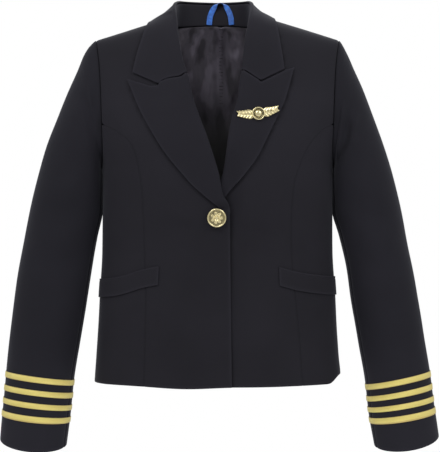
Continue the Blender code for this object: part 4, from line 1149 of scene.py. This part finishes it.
def turned_frame(side, at, fold_point):
    """Direction past the fold and direction of the lift, at a station."""
    up_share = float(smooth_step(2.6, 4.6, at))
    normal = outward(fold_point)
    past = np.array([-side * (1 - up_share), 0.0, up_share])
    past = past - normal * past.dot(normal) * (1 - up_share)
    past = past / np.linalg.norm(past)
    lift = normal - past * normal.dot(past)
    return past, lift / np.linalg.norm(lift)


class BLAZER_OT_collar(Operator):
    """Turn the collar's fall over its stand and lay it on the shoulders"""
    bl_idname = "blazer.collar"
    bl_label = "Collar"

    def execute(self, context):
        shares = np.concatenate([np.linspace(0.05, 0.9, 19), [0.94, 0.97, 0.985, 1.0]])
        turn = list(zip(*fine_turn()))
        rows = []
        for side, at in stations(0):
            fold_point, edge = collar_row(side, at)
            past, lift = turned_frame(side, at, fold_point)
            turned = [fold_point + past * p + lift * h for p, h in turn]
            start = fold_point + lift * TURN[-1][1]
            free = float(smooth_step(3, 4, at))
            end = 1 - float(smooth_step(0, 2, at))
            out = abs(fold_point[0]) + (abs(edge[0]) - abs(fold_point[0])) * shares
            up = (fold_point[2] + (edge[2] - fold_point[2]) * shares
                  + straight(COLLAR_END[side], shares) * end)
            flat = lifted(side * out, np.minimum(up, shoulder_up(out)), -1, leaf_lift(shares))
            chord = start + (edge - start) * shares[:, None]
            chord = chord + lift * (COLLAR_BULGE * np.sin(np.pi * shares))[:, None]
            leaf = flat * (1 - free) + chord * free
            leaf = clear_of_body(leaf, leaf_lift(shares) * 0.98)
            rows.append(np.concatenate([turned, leaf]))
        cloth("collar_fall", "collar", np.array(rows), outward, kind="blazer_lapel_suiting",
              edges=("first_row", "last_row", "last_column"))
        return {"FINISHED"}


def towards_neck(p):
    return unit(np.stack([-p[..., 0], -p[..., 1], np.zeros(p.shape[:-1])], axis=-1))


class BLAZER_OT_stand(Operator):
    """Stand the collar stand on the neck seam, inside the fall"""
    bl_idname = "blazer.stand"
    bl_label = "Collar stand"

    def execute(self, context):
        rows = []
        for side, at in stations(STAND_FROM):
            fold_point, _ = collar_row(side, at)
            foot = seam_below(side, at)
            level_foot = foot + towards_neck(foot) * STAND_FOOT_IN
            level_foot[2] = STAND_FOOT_UP - STAND_FOOT_DROP * (foot[0] / NECK_POINT[side]) ** 2
            foot = foot + (level_foot - foot) * float(smooth_step(*STAND_TAKES_FOOT, at))
            rows.append([foot + (fold_point - foot) * t for t in np.linspace(0, 1, 12)])
        cloth("collar_stand_band", "collar_stand", np.array(rows), towards_neck,
              edges=("last_column",))
        return {"FINISHED"}


def sleeve_ring(side, at):
    """A sleeve's ring at a fractional table row, as Curve values."""
    table = np.array(SLEEVE[side], float)
    index = np.arange(len(table))
    return [Curve(index, table[:, i])(at) for i in range(7)]


def sleeve_grid(side, ats, degrees, lift=0.0):
    """Points of a sleeve for table places (rows) and angles (columns)."""
    ring = [v[:, None] for v in sleeve_ring(side, np.asarray(ats, float))]
    outer_out, outer_up, inner_out, inner_up, depth, back, dip = ring
    angle = np.radians(np.asarray(degrees, float))[None, :]
    reach = (outer_out - inner_out) / 2
    rise = (outer_up - inner_up) / 2
    grow = 1 + lift / np.hypot(reach, rise)
    out = (outer_out + inner_out) / 2 + reach * grow * np.cos(angle)
    up = (outer_up + inner_up) / 2 + rise * grow * np.cos(angle)
    y = back - (depth + lift) * np.sin(angle)
    return np.stack([side * out, y, up - dip * np.maximum(np.sin(angle), 0)], axis=-1)


def armhole_points(side, degrees, lead):
    """Ring of points on the armhole seam, moved this far out along the sleeve."""
    angle = np.radians(degrees)
    middle = (SHOULDER_TIP_UP + UNDERARM_UP) / 2
    up = middle + (SHOULDER_TIP_UP - UNDERARM_UP) / 2 * np.cos(angle)
    out = ARMHOLE[side](up)
    front = on_body(side * out, up, -1)
    back = on_body(side * out, up, 1)
    p = np.where((np.sin(angle) > 0)[:, None], front, back)
    return p + np.array([side * (THREAD / 2 + lead), 0, 0])


def sleeve_folds(side, points):
    """Height of the sleeve's folds at each point."""
    mirrored = points * np.array([side, 1, 1])
    height = noise(points, 110.0, 31 + side) * 0.5
    for face, line, width, rise in SLEEVE_FOLDS[side]:
        here = smooth_step(-6, 6, face * (points[..., 1] - 2))
        height = height + fold(mirrored, line, width, rise) * here
    return height


def sleeve_creases(side, points):
    """How hard a sleeve is creased where it bends in under the armhole, from 0 to 1, which also sets
    the painted shade there.
    """
    mirrored = points * np.array([side, 1, 1])
    here = smooth_step(-6, 6, -(points[..., 1] - 2))
    creases = np.zeros(points.shape[:2])
    for line, width, share in SLEEVE_CREASES[side]:
        crease = fold(mirrored, line, width, share, ends=(0.3, 0.12), lean=1.3)
        creases = np.maximum(creases, crease * here)
    return creases


def ring_outwards(side, points):
    """Direction from the sleeve's middle line."""
    table = np.array(SLEEVE[side], float)
    axis = np.stack([side * (table[:, 0] + table[:, 2]) / 2, table[:, 5],
                     (table[:, 1] + table[:, 3]) / 2], axis=-1)
    gaps = np.linalg.norm(points[..., None, :] - axis, axis=-1)
    return unit(points - axis[np.argmin(gaps, axis=-1)])


class BLAZER_OT_sleeves(Operator):
    """Set both two-piece sleeves into the armholes"""
    bl_idname = "blazer.sleeves"
    bl_label = "Sleeves"

    def execute(self, context):
        count = len(SLEEVE[RIGHT]) - 1
        ats = np.append(graded([0, 5, count - 0.04], [34, 70]), [count - 0.02, count])
        pieces = (("top_sleeve", BACK_SEAM - 360, FRONT_SEAM, 68, True),
                  ("under_sleeve", FRONT_SEAM, BACK_SEAM, 30, False))
        for side, name in SIDES:
            for piece, first, last, columns, rounded in pieces:
                begin, end = first - SLEEVE_SEAM_OVERLAP, last + SLEEVE_SEAM_OVERLAP
                angles = begin + (end - begin) * spread(columns, 0.7, 0.7)
                head = [armhole_points(side, angles, lead) for lead in HEAD_LEADS]
                body = sleeve_grid(side, ats, angles)
                drift = head[0][:, 1] - sleeve_grid(side, [0], angles)[0, :, 1]
                ease = np.interp(ats, range(len(HEAD_EASE)), HEAD_EASE)
                body[..., 1] += drift[None, :] * ease[:, None]
                height = sleeve_folds(side, body) * smooth_step(0.0, 0.6, ats)[:, None]
                body = body + ring_outwards(side, body) * height[..., None]
                points = np.concatenate([head, body])

                def towards(p, side=side):
                    return -ring_outwards(side, p)

                cloth(f"{piece}_cloth_{name}", f"{piece}_{name}", points, towards,
                      kind="blazer_sleeve_suiting",
                      seams=("first_column", "last_column", "first_row"), edges=("last_row",),
                      rounded=rounded, grain_from=60.0,
                      seam_depth=-SEAM_DEPTH, creases=sleeve_creases(side, points))
        return {"FINISHED"}


def braid_place(side, up):
    """Sleeve table place whose outer point has this height."""
    outer_ups = np.array([row[1] for row in SLEEVE[side]], float)
    return float(np.interp(-up, -outer_ups, np.arange(len(outer_ups))))


class BLAZER_OT_braids(Operator):
    """Sew four rings of gold braid round each cuff"""
    bl_idname = "blazer.braids"
    bl_label = "Gold braids"

    def execute(self, context):
        angles = np.linspace(0, 360, 101)
        for side, name in SIDES:
            lowest, pitch = BRAIDS[side]
            for i in range(BRAID_COUNT):
                middle = lowest + pitch * (BRAID_COUNT - 1 - i)
                rows = []
                for across, crown in BRAID_PROFILE:
                    at = braid_place(side, middle + BRAID_WIDTH * across)
                    ring = sleeve_grid(side, [at], angles, BRAID_LIFT + crown)[0]
                    height = sleeve_folds(side, ring)
                    rows.append(ring + ring_outwards(side, ring) * height[:, None])

                def outwards(p, side=side):
                    return ring_outwards(side, p)

                cloth(f"gold_braid_{name}_{i + 1}", f"braid_{name}_{i + 1}", np.array(rows),
                      outwards, kind="blazer_gold_braid", wall=0.6,
                      closed=True, seam_depth=0)
        return {"FINISHED"}


class BLAZER_OT_welts(Operator):
    """Sew the slanted welts over the pocket mouths"""
    bl_idname = "blazer.welts"
    bl_label = "Pocket welts"

    def execute(self, context):
        for side, name in SIDES:
            first = turn_of(WELT_INNER[side], WELT_MIDDLE_UP)
            last = math.radians(WELT_END_TURN)
            turn = first + (last - first) * spread(40, 0.8, 0.5)
            out = out_of(turn, WELT_MIDDLE_UP)
            rows = []
            for drop in WELT_ROWS:
                up = WELT_EDGE[side](out) - WELT_HEIGHT * drop
                groove = math.exp(-((drop - WELT_GROOVE_AT) / WELT_GROOVE_WIDTH) ** 2)
                lift = WELT_LIFT - WELT_GROOVE * groove
                rows.append(lifted(side * out_of(turn, up), up, -1, np.full(up.shape, lift)))
            points = settle(np.array(rows), FRONT_FOLDS, 3 + side)
            cloth(f"pocket_welt_{name}", f"welt_{name}", points, outward, wall=1.8,
                  edges=("first_row", "first_column", "last_row"), grain_from=100.0,
                  seam_depth=0)
        return {"FINISHED"}


def lining_top(x):
    neck = np.where(x > 0, NECK_POINT[LEFT], NECK_POINT[RIGHT])
    near = np.minimum(np.abs(x), neck) / neck
    at_neck = STAND_FOOT_UP - STAND_FOOT_DROP * near ** 2 + LINING_ABOVE_NECK
    at_shoulder = shoulder_up(x) - LINING_BELOW_SHOULDER
    turned = smooth_step(*LINING_TOP_TURNS, np.abs(x) - neck)
    return at_neck + (at_shoulder - at_neck) * turned


# Soft drags of the lining towards the wearer: x, z of their line, width and height
LINING_FOLDS = [
    ([(-30, -14), (-27, -70), (-20, -150)], 9, -2.6),
    ([(-9, -10), (-7, -80), (-3, -180)], 9, -2.8),
    ([(20, -12), (19, -80), (15, -170)], 6, -2.2),
    ([(38, -18), (34, -80), (26, -150)], 7, -2.2),
    ([(-50, -26), (-44, -70), (-36, -120)], 7, -2.4),
    ([(-56, -4), (-40, -20), (-18, -32)], 6, -1.8),
    ([(50, -6), (38, -22), (18, -34)], 6, -1.8),
    ([(-44, -60), (-26, -90), (-10, -128)], 7, -1.5),
    ([(40, -70), (26, -104), (10, -140)], 7, -1.5),
    ([(-10, -150), (-4, -260), (2, -380)], 12, -1.8),
    ([(30, -180), (26, -280), (18, -400)], 12, -1.6),
]


class BLAZER_OT_lining(Operator):
    """Hang the satin lining inside the back, with its ease pleat"""
    bl_idname = "blazer.lining"
    bl_label = "Back lining"

    def execute(self, context):
        pleat = float(turn_of(np.array(PLEAT_OUT), CHEST_UP)) / math.radians(LINING_TURN)
        reach, count = PLEAT_COLUMNS
        shares = np.sort(np.concatenate([np.linspace(-1, 1, LINING_COLUMNS),
                                         pleat + np.linspace(-reach, reach, count)]))

        def lining_edge(up):
            widest = math.radians(LINING_TURN)
            armhole = turn_of(ARMHOLE[RIGHT](up) - LINING_BEFORE_ARMHOLE, up)
            return np.where(up > UNDERARM_UP, np.minimum(widest, armhole), widest)

        low, high = LINING_ROWS
        starts = np.concatenate([np.linspace(LINING_HEM_UP, CHEST_UP, low),
                                 np.full(high, CHEST_UP)])[:, None]
        climb = np.concatenate([np.zeros(low), np.linspace(0, 1, high + 1)[1:] ** 0.8])[:, None]
        up = np.broadcast_to(starts, (len(starts), len(shares)))
        for _ in range(8):
            x = out_of(shares[None, :] * lining_edge(up), up)
            up = starts + (lining_top(x) - starts) * climb
        x = out_of(shares[None, :] * lining_edge(up), up)
        pinch = np.exp(-((x - PLEAT_OUT) / PLEAT_WIDTH) ** 2) * smooth_step(PLEAT_END_UP, -20, up)
        lift = -2.0 - LINING_GAP - PLEAT_DEPTH * pinch
        points = lifted(x, up, 1, lift)
        drag = np.zeros(points.shape[:2])
        for line, width, rise in LINING_FOLDS:
            drag = drag + fold(points, line, width, rise)
        drag = drag + noise(points, 46.0, 17) * 0.5
        drag = np.minimum(drag, 0.6) - 0.4
        points = points + outward(points) * drag[..., None]
        cloth("satin_back_lining", "back_lining", points, inward, kind="blazer_satin",
              wall=0.8, rounded=False, seam_depth=0)
        return {"FINISHED"}


def stand_back(x, up):
    """How far back the outer face of the stand lies near the centre back."""
    side = LEFT if x > 0 else RIGHT
    folds = [collar_row(side, at)[0] for at in (8, 7.5, 7, 6.5)]
    depth = float(np.interp(abs(x), [abs(p[0]) for p in folds], [p[1] for p in folds]))
    foot = float(on_body(x, NECK_BACK_UP, 1)[1]) - STAND_FOOT_IN - LOOP_FOOT_SETBACK
    return foot + (depth - foot) * (up - STAND_FOOT_UP) / (STAND_TOP_UP - STAND_FOOT_UP)


def loop_back(point):
    """How far back the tape's face lies in front of the stand at a point."""
    return stand_back(point[0], point[2]) - STAND_WALL - LOOP_GAP


class BLAZER_OT_hanger_loop(Operator):
    """Sew the hanger tape to the stand, its ends tucked under the neck seam"""
    bl_idname = "blazer.hanger_loop"
    bl_label = "Hanger loop"

    def execute(self, context):
        table = LOOP + [(-half, up, turned) for half, up, turned in reversed(LOOP[:-1])]
        place = np.linspace(0, len(table) - 1, 57)
        half, up, turned = [Curve(range(len(table)), column)(place) for column in zip(*table)]
        path = np.stack([LOOP_CENTRE - half, np.zeros(len(place)), up], axis=-1)
        along = unit(np.gradient(path, axis=0))
        flat = np.stack([-along[:, 2], np.zeros(len(place)), along[:, 0]], axis=-1)
        turn = turned[:, None]
        width = unit(flat * (1 - turn) + np.array([0, 1, 0]) * turn)
        strip = []
        for centre, across in zip(path, width):
            reach = across * LOOP_WIDTH / 2
            back = loop_back(centre) - abs(reach[1])
            row = [centre + np.array([0, back, 0]) + reach * share
                   for share in np.linspace(-1, 1, 9)]
            for point in row:
                point[1] = min(point[1], loop_back(point))
            strip.append(row)

        def forward(p):
            return np.broadcast_to(np.array([0.0, -1.0, 0.0]), p.shape)

        cloth("hanger_tape", "hanger_loop", np.array(strip), forward, kind="blazer_blue_tape",
              wall=0.8, seams=("first_row", "last_row"), seam_depth=0)
        return {"FINISHED"}


def button_relief(radius, angle):
    """Height of the button's face: beads round a rosette of two rows of ribbed petals."""
    beads = 0.7 * np.exp(-((radius - 11.2) / 0.5) ** 2) * (0.5 + 0.5 * np.cos(angle * 26))
    outer = np.abs(np.cos(angle * 3.5)) ** 0.5
    petal = smooth_step(0, 1.6, 5.0 + 5.8 * outer - radius) * smooth_step(2.4, 4.4, radius)
    rib = -0.7 * np.exp(-(np.sin(angle * 7) * radius / 1.6) ** 2) * smooth_step(4, 6, radius)
    inner = np.abs(np.cos(angle * 3.5 + math.pi / 2)) ** 0.5
    second = smooth_step(0, 1.0, 2.6 + 3.4 * inner - radius) * smooth_step(1.4, 2.4, radius)
    heart = 1.5 * np.sqrt(np.clip(1 - (radius / 2.1) ** 2, 0, 1))
    return beads + 1.5 * petal + np.where(petal > 0.3, rib, 0) + 0.9 * second + heart


def turned_solid(bm, profile, steps, hollow, ring=(0.0, 0.0)):
    """Spins a profile of radius and height round the upright axis, hollow between two radii."""
    verts = [bm.verts.new((r * MM, 0, h * MM)) for r, h in profile]
    for vertex, (radius, _) in zip(verts, profile):
        vertex[hollow] = 1.0 if ring[0] < radius < ring[1] else 0.0
    edges = [bm.edges.new(pair) for pair in zip(verts[:-1], verts[1:])]
    bmesh.ops.spin(bm, geom=verts + edges, cent=(0, 0, 0), axis=(0, 0, 1),
                   angle=2 * math.pi, steps=steps, use_merge=True)
    bmesh.ops.remove_doubles(bm, verts=bm.verts, dist=0.002 * MM)


class BLAZER_OT_button(Operator):
    """Turn the gilt button: a rolled rim round a domed face with petals in relief"""
    bl_idname = "blazer.button"
    bl_label = "Button"

    def execute(self, context):
        bm = bmesh.new()
        hollow = bm.verts.layers.float.new("hollow")
        face_height = BUTTON_PROFILE[-1][1]
        inner = [(r, face_height) for r in np.linspace(BUTTON_FACE - 0.3, 0.0, 60)]
        turned_solid(bm, BUTTON_PROFILE + inner, 192, hollow)
        for vertex in bm.verts:
            r = math.hypot(vertex.co.x, vertex.co.y) / MM
            if r < BUTTON_FACE + 0.05 and vertex.co.z > 4.0 * MM:
                angle = math.atan2(vertex.co.y, vertex.co.x)
                rise = float(button_relief(np.array(r), np.array(angle)))
                dome = BUTTON_DOME * (1 - (r / BUTTON_FACE) ** 2)
                vertex.co.z = (face_height - BUTTON_FACE_SUNK + dome + rise) * MM
                vertex[hollow] = BUTTON_HOLLOW * (1 - float(smooth_step(0.1, 1.1, rise)))
        bmesh.ops.recalc_face_normals(bm, faces=bm.faces)
        seat = on_body(BUTTON_OUT, BUTTON_UP, -1)
        normal = outward(seat)
        turned = Vector(normal).to_track_quat("Z", "Y").to_matrix().to_4x4()
        place = Matrix.Translation(Vector(seat + normal * BUTTON_GAP) * MM) @ turned
        bmesh.ops.transform(bm, matrix=place, verts=bm.verts)
        mesh = bpy.data.meshes.new("gilt_button")
        bm.to_mesh(mesh)
        bm.free()
        link(mesh, "gilt_button", "blazer_gilt", "button")
        return {"FINISHED"}


def pin_frame():
    """Matrix that lays the pin on the left lapel, tilted as it sits pinned on."""
    seat = on_body(PIN_OUT, PIN_UP, -1)
    normal = Vector(outward(seat))
    x_axis = Vector((1, 0, 0)) - normal * normal[0]
    x_axis.normalize()
    turned = Matrix((x_axis, normal.cross(x_axis), normal)).transposed().to_4x4()
    tilt = Matrix.Rotation(math.radians(PIN_TILT), 4, "Z")
    return Matrix.Translation((Vector(seat) + normal * PIN_LIFT) * MM) @ turned @ tilt


def add_leaf(bm, hollow, root, length, width, turn, lift):
    """A pointed leaf with a raised midrib and veins, lying on the pin's bar."""
    along_steps, across_steps = 18, 8
    made = bmesh.ops.create_grid(bm, x_segments=along_steps, y_segments=across_steps, size=1)
    verts = made["verts"]
    cos, sin = math.cos(turn), math.sin(turn)
    for vertex in verts:
        t = (vertex.co.x + 1) / 2
        s = vertex.co.y
        half = width / 2 * math.sin(math.pi * min(t ** 0.75, 1.0)) ** 0.85 + 0.05
        vein = 0.10 * math.cos(2 * math.pi * (t * 5 - abs(s) * 1.2)) * (1 - abs(s))
        height = lift + 0.9 * (1 - abs(s) ** 1.6) * math.sin(math.pi * t) ** 0.5 + vein
        height += 0.35 * math.exp(-(s / 0.14) ** 2)
        a, b = t * length, s * half
        vertex.co = Vector(((root[0] + a * cos - b * sin) * MM,
                            (root[1] + a * sin + b * cos) * MM, height * MM))
        vertex[hollow] = min(max((abs(s) - 0.55) * 1.6, 0.0), 1.0)
    faces = list({f for v in verts for f in v.link_faces})
    rim = [e for f in faces for e in f.edges if len(e.link_faces) == 1]
    down = bmesh.ops.extrude_edge_only(bm, edges=list(set(rim)))["geom"]
    for vertex in [g for g in down if isinstance(g, bmesh.types.BMVert)]:
        vertex.co.z = 0.2 * MM
        vertex[hollow] = 1.0
    lower = [g for g in down if isinstance(g, bmesh.types.BMEdge)]
    bmesh.ops.holes_fill(bm, edges=[e for e in lower if len(e.link_faces) == 1], sides=0)


class BLAZER_OT_lapel_pin(Operator):
    """Pin the gilt leaf sprays and their plain boss on the left lapel"""
    bl_idname = "blazer.lapel_pin"
    bl_label = "Lapel pin"

    def execute(self, context):
        bm = bmesh.new()
        hollow = bm.verts.layers.float.new("hollow")
        bmesh.ops.create_cube(bm, size=1, matrix=Matrix.Translation((0, 0, 0.5 * MM))
                              @ Matrix.Diagonal((*[size * MM for size in PIN_BAR], 1)))
        bar = [edge for edge in bm.edges if abs(edge.verts[0].co.x - edge.verts[1].co.x) > MM]
        bmesh.ops.subdivide_edges(bm, edges=bar, cuts=16)
        for way in (1, -1):
            facing = 0.0 if way > 0 else math.pi
            for i in range(PIN_LEAF_PAIRS):
                for up in (1, -1):
                    root = (way * (7.0 + i * 4.7), up * 0.7)
                    turn = up * way * math.radians(36 - i * 3) + facing
                    add_leaf(bm, hollow, root, 11.5 - i * 0.8, 5.8 - i * 0.35, turn,
                             0.5 + 0.25 * i)
            add_leaf(bm, hollow, (way * 23.0, 0), 8.6, 4.2, facing, 1.8)
        for vertex in bm.verts:
            vertex.co.y += PIN_RISE * MM * (vertex.co.x / (PIN_HALF_LENGTH * MM)) ** 2
        turned_solid(bm, PIN_BOSS, 72, hollow, PIN_RING)
        for i in range(PIN_BEADS):
            angle = 2 * math.pi * i / PIN_BEADS
            bmesh.ops.create_uvsphere(
                bm, u_segments=10, v_segments=8, radius=BEAD_RADIUS * MM,
                matrix=Matrix.Translation((BEAD_OUT * MM * math.cos(angle),
                                           BEAD_OUT * MM * math.sin(angle), BEAD_UP * MM)))
        bmesh.ops.recalc_face_normals(bm, faces=bm.faces)
        bmesh.ops.transform(bm, matrix=pin_frame(), verts=bm.verts)
        mesh = bpy.data.meshes.new("leaf_pin")
        bm.to_mesh(mesh)
        bm.free()
        link(mesh, "leaf_pin", "blazer_gilt", "lapel_pin")
        return {"FINISHED"}


# Each light: place, point that it shines at, size, and share of the main light's power
LIGHTS = {
    "key_light": ((-1.3, -1.9, 2.0), (0, 0, -0.3), (1.6, 1.6), 1.0),
    "fill_light": ((1.8, -1.9, 1.3), (0, 0, -0.35), (1.6, 1.6), 0.6),
    "back_light": ((0.3, 2.4, 1.5), (0, 0, -0.3), (2.0, 1.4), 0.7),
}
# The camera's place in metres, and its focal length and frame height in pixels
CAMERA_DISTANCE = 3.2
CAMERA_UP = -0.3232
CAMERA_OUT = 0.004
FOCAL_PIXELS = 2000.0
FRAME_HEIGHT = 452.0
# The floor, in metres
FLOOR_UP = -0.82
FLOOR_RADIUS = 1.1


def area_light(name, place, aim, size, power):
    data = bpy.data.lights.new(name, "AREA")
    data.shape = "RECTANGLE"
    data.size, data.size_y = size
    data.energy = power
    obj = bpy.data.objects.new(name, data)
    obj.location = place
    obj.rotation_euler = (Vector(aim) - Vector(place)).to_track_quat("-Z", "Y").to_euler()
    bpy.context.scene.collection.objects.link(obj)


class BLAZER_OT_stage(Operator):
    """Set the pale floor, the soft studio light and the camera"""
    bl_idname = "blazer.stage"
    bl_label = "Stage"

    def execute(self, context):
        scene = context.scene
        light = scene.blazer_light
        bm = bmesh.new()
        bmesh.ops.create_circle(bm, cap_ends=True, radius=FLOOR_RADIUS, segments=128,
                                matrix=Matrix.Translation((0, 0, FLOOR_UP)))
        mesh = bpy.data.meshes.new("floor")
        bm.to_mesh(mesh)
        bm.free()
        n = Nodes("pale_floor")
        n.shader.inputs["Base Color"].default_value = (0.9, 0.9, 0.9, 1)
        n.shader.inputs["Roughness"].default_value = 0.9
        mesh.materials.append(n.material)
        floor = bpy.data.objects.new("floor", mesh)
        scene.collection.objects.link(floor)

        world = bpy.data.worlds.new("studio")
        world.use_nodes = True
        tree = world.node_tree
        ambient = tree.nodes["Background"]
        ambient.inputs["Color"].default_value = (1, 1, 1, 1)
        ambient.inputs["Strength"].default_value = light.ambient
        shown = tree.nodes.new("ShaderNodeBackground")
        shown.inputs["Color"].default_value = (1, 1, 1, 1)
        shown.inputs["Strength"].default_value = 1.0
        path = tree.nodes.new("ShaderNodeLightPath")
        mix = tree.nodes.new("ShaderNodeMixShader")
        tree.links.new(path.outputs["Is Camera Ray"], mix.inputs[0])
        tree.links.new(ambient.outputs[0], mix.inputs[1])
        tree.links.new(shown.outputs[0], mix.inputs[2])
        tree.links.new(mix.outputs[0], tree.nodes["World Output"].inputs["Surface"])
        scene.world = world

        for name, (place, aim, size, share) in LIGHTS.items():
            area_light(name, place, aim, size, light.light_power * share)

        camera = bpy.data.cameras.new("camera")
        camera.sensor_width = 36.0
        camera.lens = FOCAL_PIXELS * camera.sensor_width / FRAME_HEIGHT
        camera.clip_end = 50
        obj = bpy.data.objects.new("camera", camera)
        obj.location = (CAMERA_OUT, -CAMERA_DISTANCE, CAMERA_UP)
        obj.rotation_euler = (math.pi / 2, 0, 0)
        scene.collection.objects.link(obj)
        scene.camera = obj
        scene.view_settings.view_transform = "Standard"
        return {"FINISHED"}


def colour_property(name, description, value):
    return FloatVectorProperty(name=name, description=description, subtype="COLOR", size=3,
                               min=0.0, max=1.0, default=value)


class BlazerColours(PropertyGroup):
    """Colours of the blazer's cloths and metals"""
    suiting: colour_property("Suiting", "Dye of the body cloth", (0.0150, 0.0142, 0.0190))
    # Lapels and sleeves use copies of the body cloth's colour, toned a little apart as painted light on
    # those pieces.
    lapel_suiting: colour_property("Lapels", "Dye of the lapels and collar",
                                   (0.0160, 0.0152, 0.0208))
    sleeve_suiting: colour_property("Sleeves", "Dye of the sleeve cloth",
                                    (0.0146, 0.0141, 0.0195))
    lining: colour_property("Lining", "Satin of the back lining", (0.124, 0.112, 0.142))
    braid: colour_property("Gold braid", "Metal thread of the cuff braids", (1.0, 0.775, 0.16))
    tape: colour_property("Hanger tape", "Blue of the hanger tape", (0.018, 0.13, 0.55))
    gilt: colour_property("Gilt", "Metal of the button and the pin", (0.90, 0.79, 0.46))


class BlazerLight(PropertyGroup):
    """Strength of the studio light"""
    ambient: FloatProperty(name="Ambient light", description="Strength of the light all round",
                           default=0.5, min=0.0, max=4.0)
    light_power: FloatProperty(name="Light power", description="Power of the main soft light",
                               default=34.0, min=0.0, max=500.0, unit="POWER")


STEPS = ("fronts", "side_fronts", "backs", "lapels", "collar", "stand", "sleeves", "braids",
         "welts", "lining", "hanger_loop", "button", "lapel_pin", "stage")


class BLAZER_PT_panel(Panel):
    """The colours, the light and the steps that make the blazer"""
    bl_label = "Fitted blazer"
    bl_idname = "BLAZER_PT_panel"
    bl_space_type = "VIEW_3D"
    bl_region_type = "UI"
    bl_category = "Blazer"

    def draw(self, context):
        layout = self.layout
        for group in (context.scene.blazer_colours, context.scene.blazer_light):
            for name in group.__annotations__:
                layout.prop(group, name)
        for step in STEPS:
            layout.operator(f"blazer.{step}")


CLASSES = (BlazerColours, BlazerLight, BLAZER_OT_fronts, BLAZER_OT_side_fronts,
           BLAZER_OT_backs, BLAZER_OT_lapels, BLAZER_OT_collar, BLAZER_OT_stand,
           BLAZER_OT_sleeves, BLAZER_OT_braids, BLAZER_OT_welts, BLAZER_OT_lining,
           BLAZER_OT_hanger_loop, BLAZER_OT_button, BLAZER_OT_lapel_pin, BLAZER_OT_stage,
           BLAZER_PT_panel)


def register():
    for cls in CLASSES:
        bpy.utils.register_class(cls)
    bpy.types.Scene.blazer_colours = PointerProperty(type=BlazerColours)
    bpy.types.Scene.blazer_light = PointerProperty(type=BlazerLight)


def unregister():
    del bpy.types.Scene.blazer_light
    del bpy.types.Scene.blazer_colours
    for cls in reversed(CLASSES):
        bpy.utils.unregister_class(cls)


def main():
    register()
    for step in STEPS:
        getattr(bpy.ops.blazer, step)()


if __name__ == "__main__":
    main()
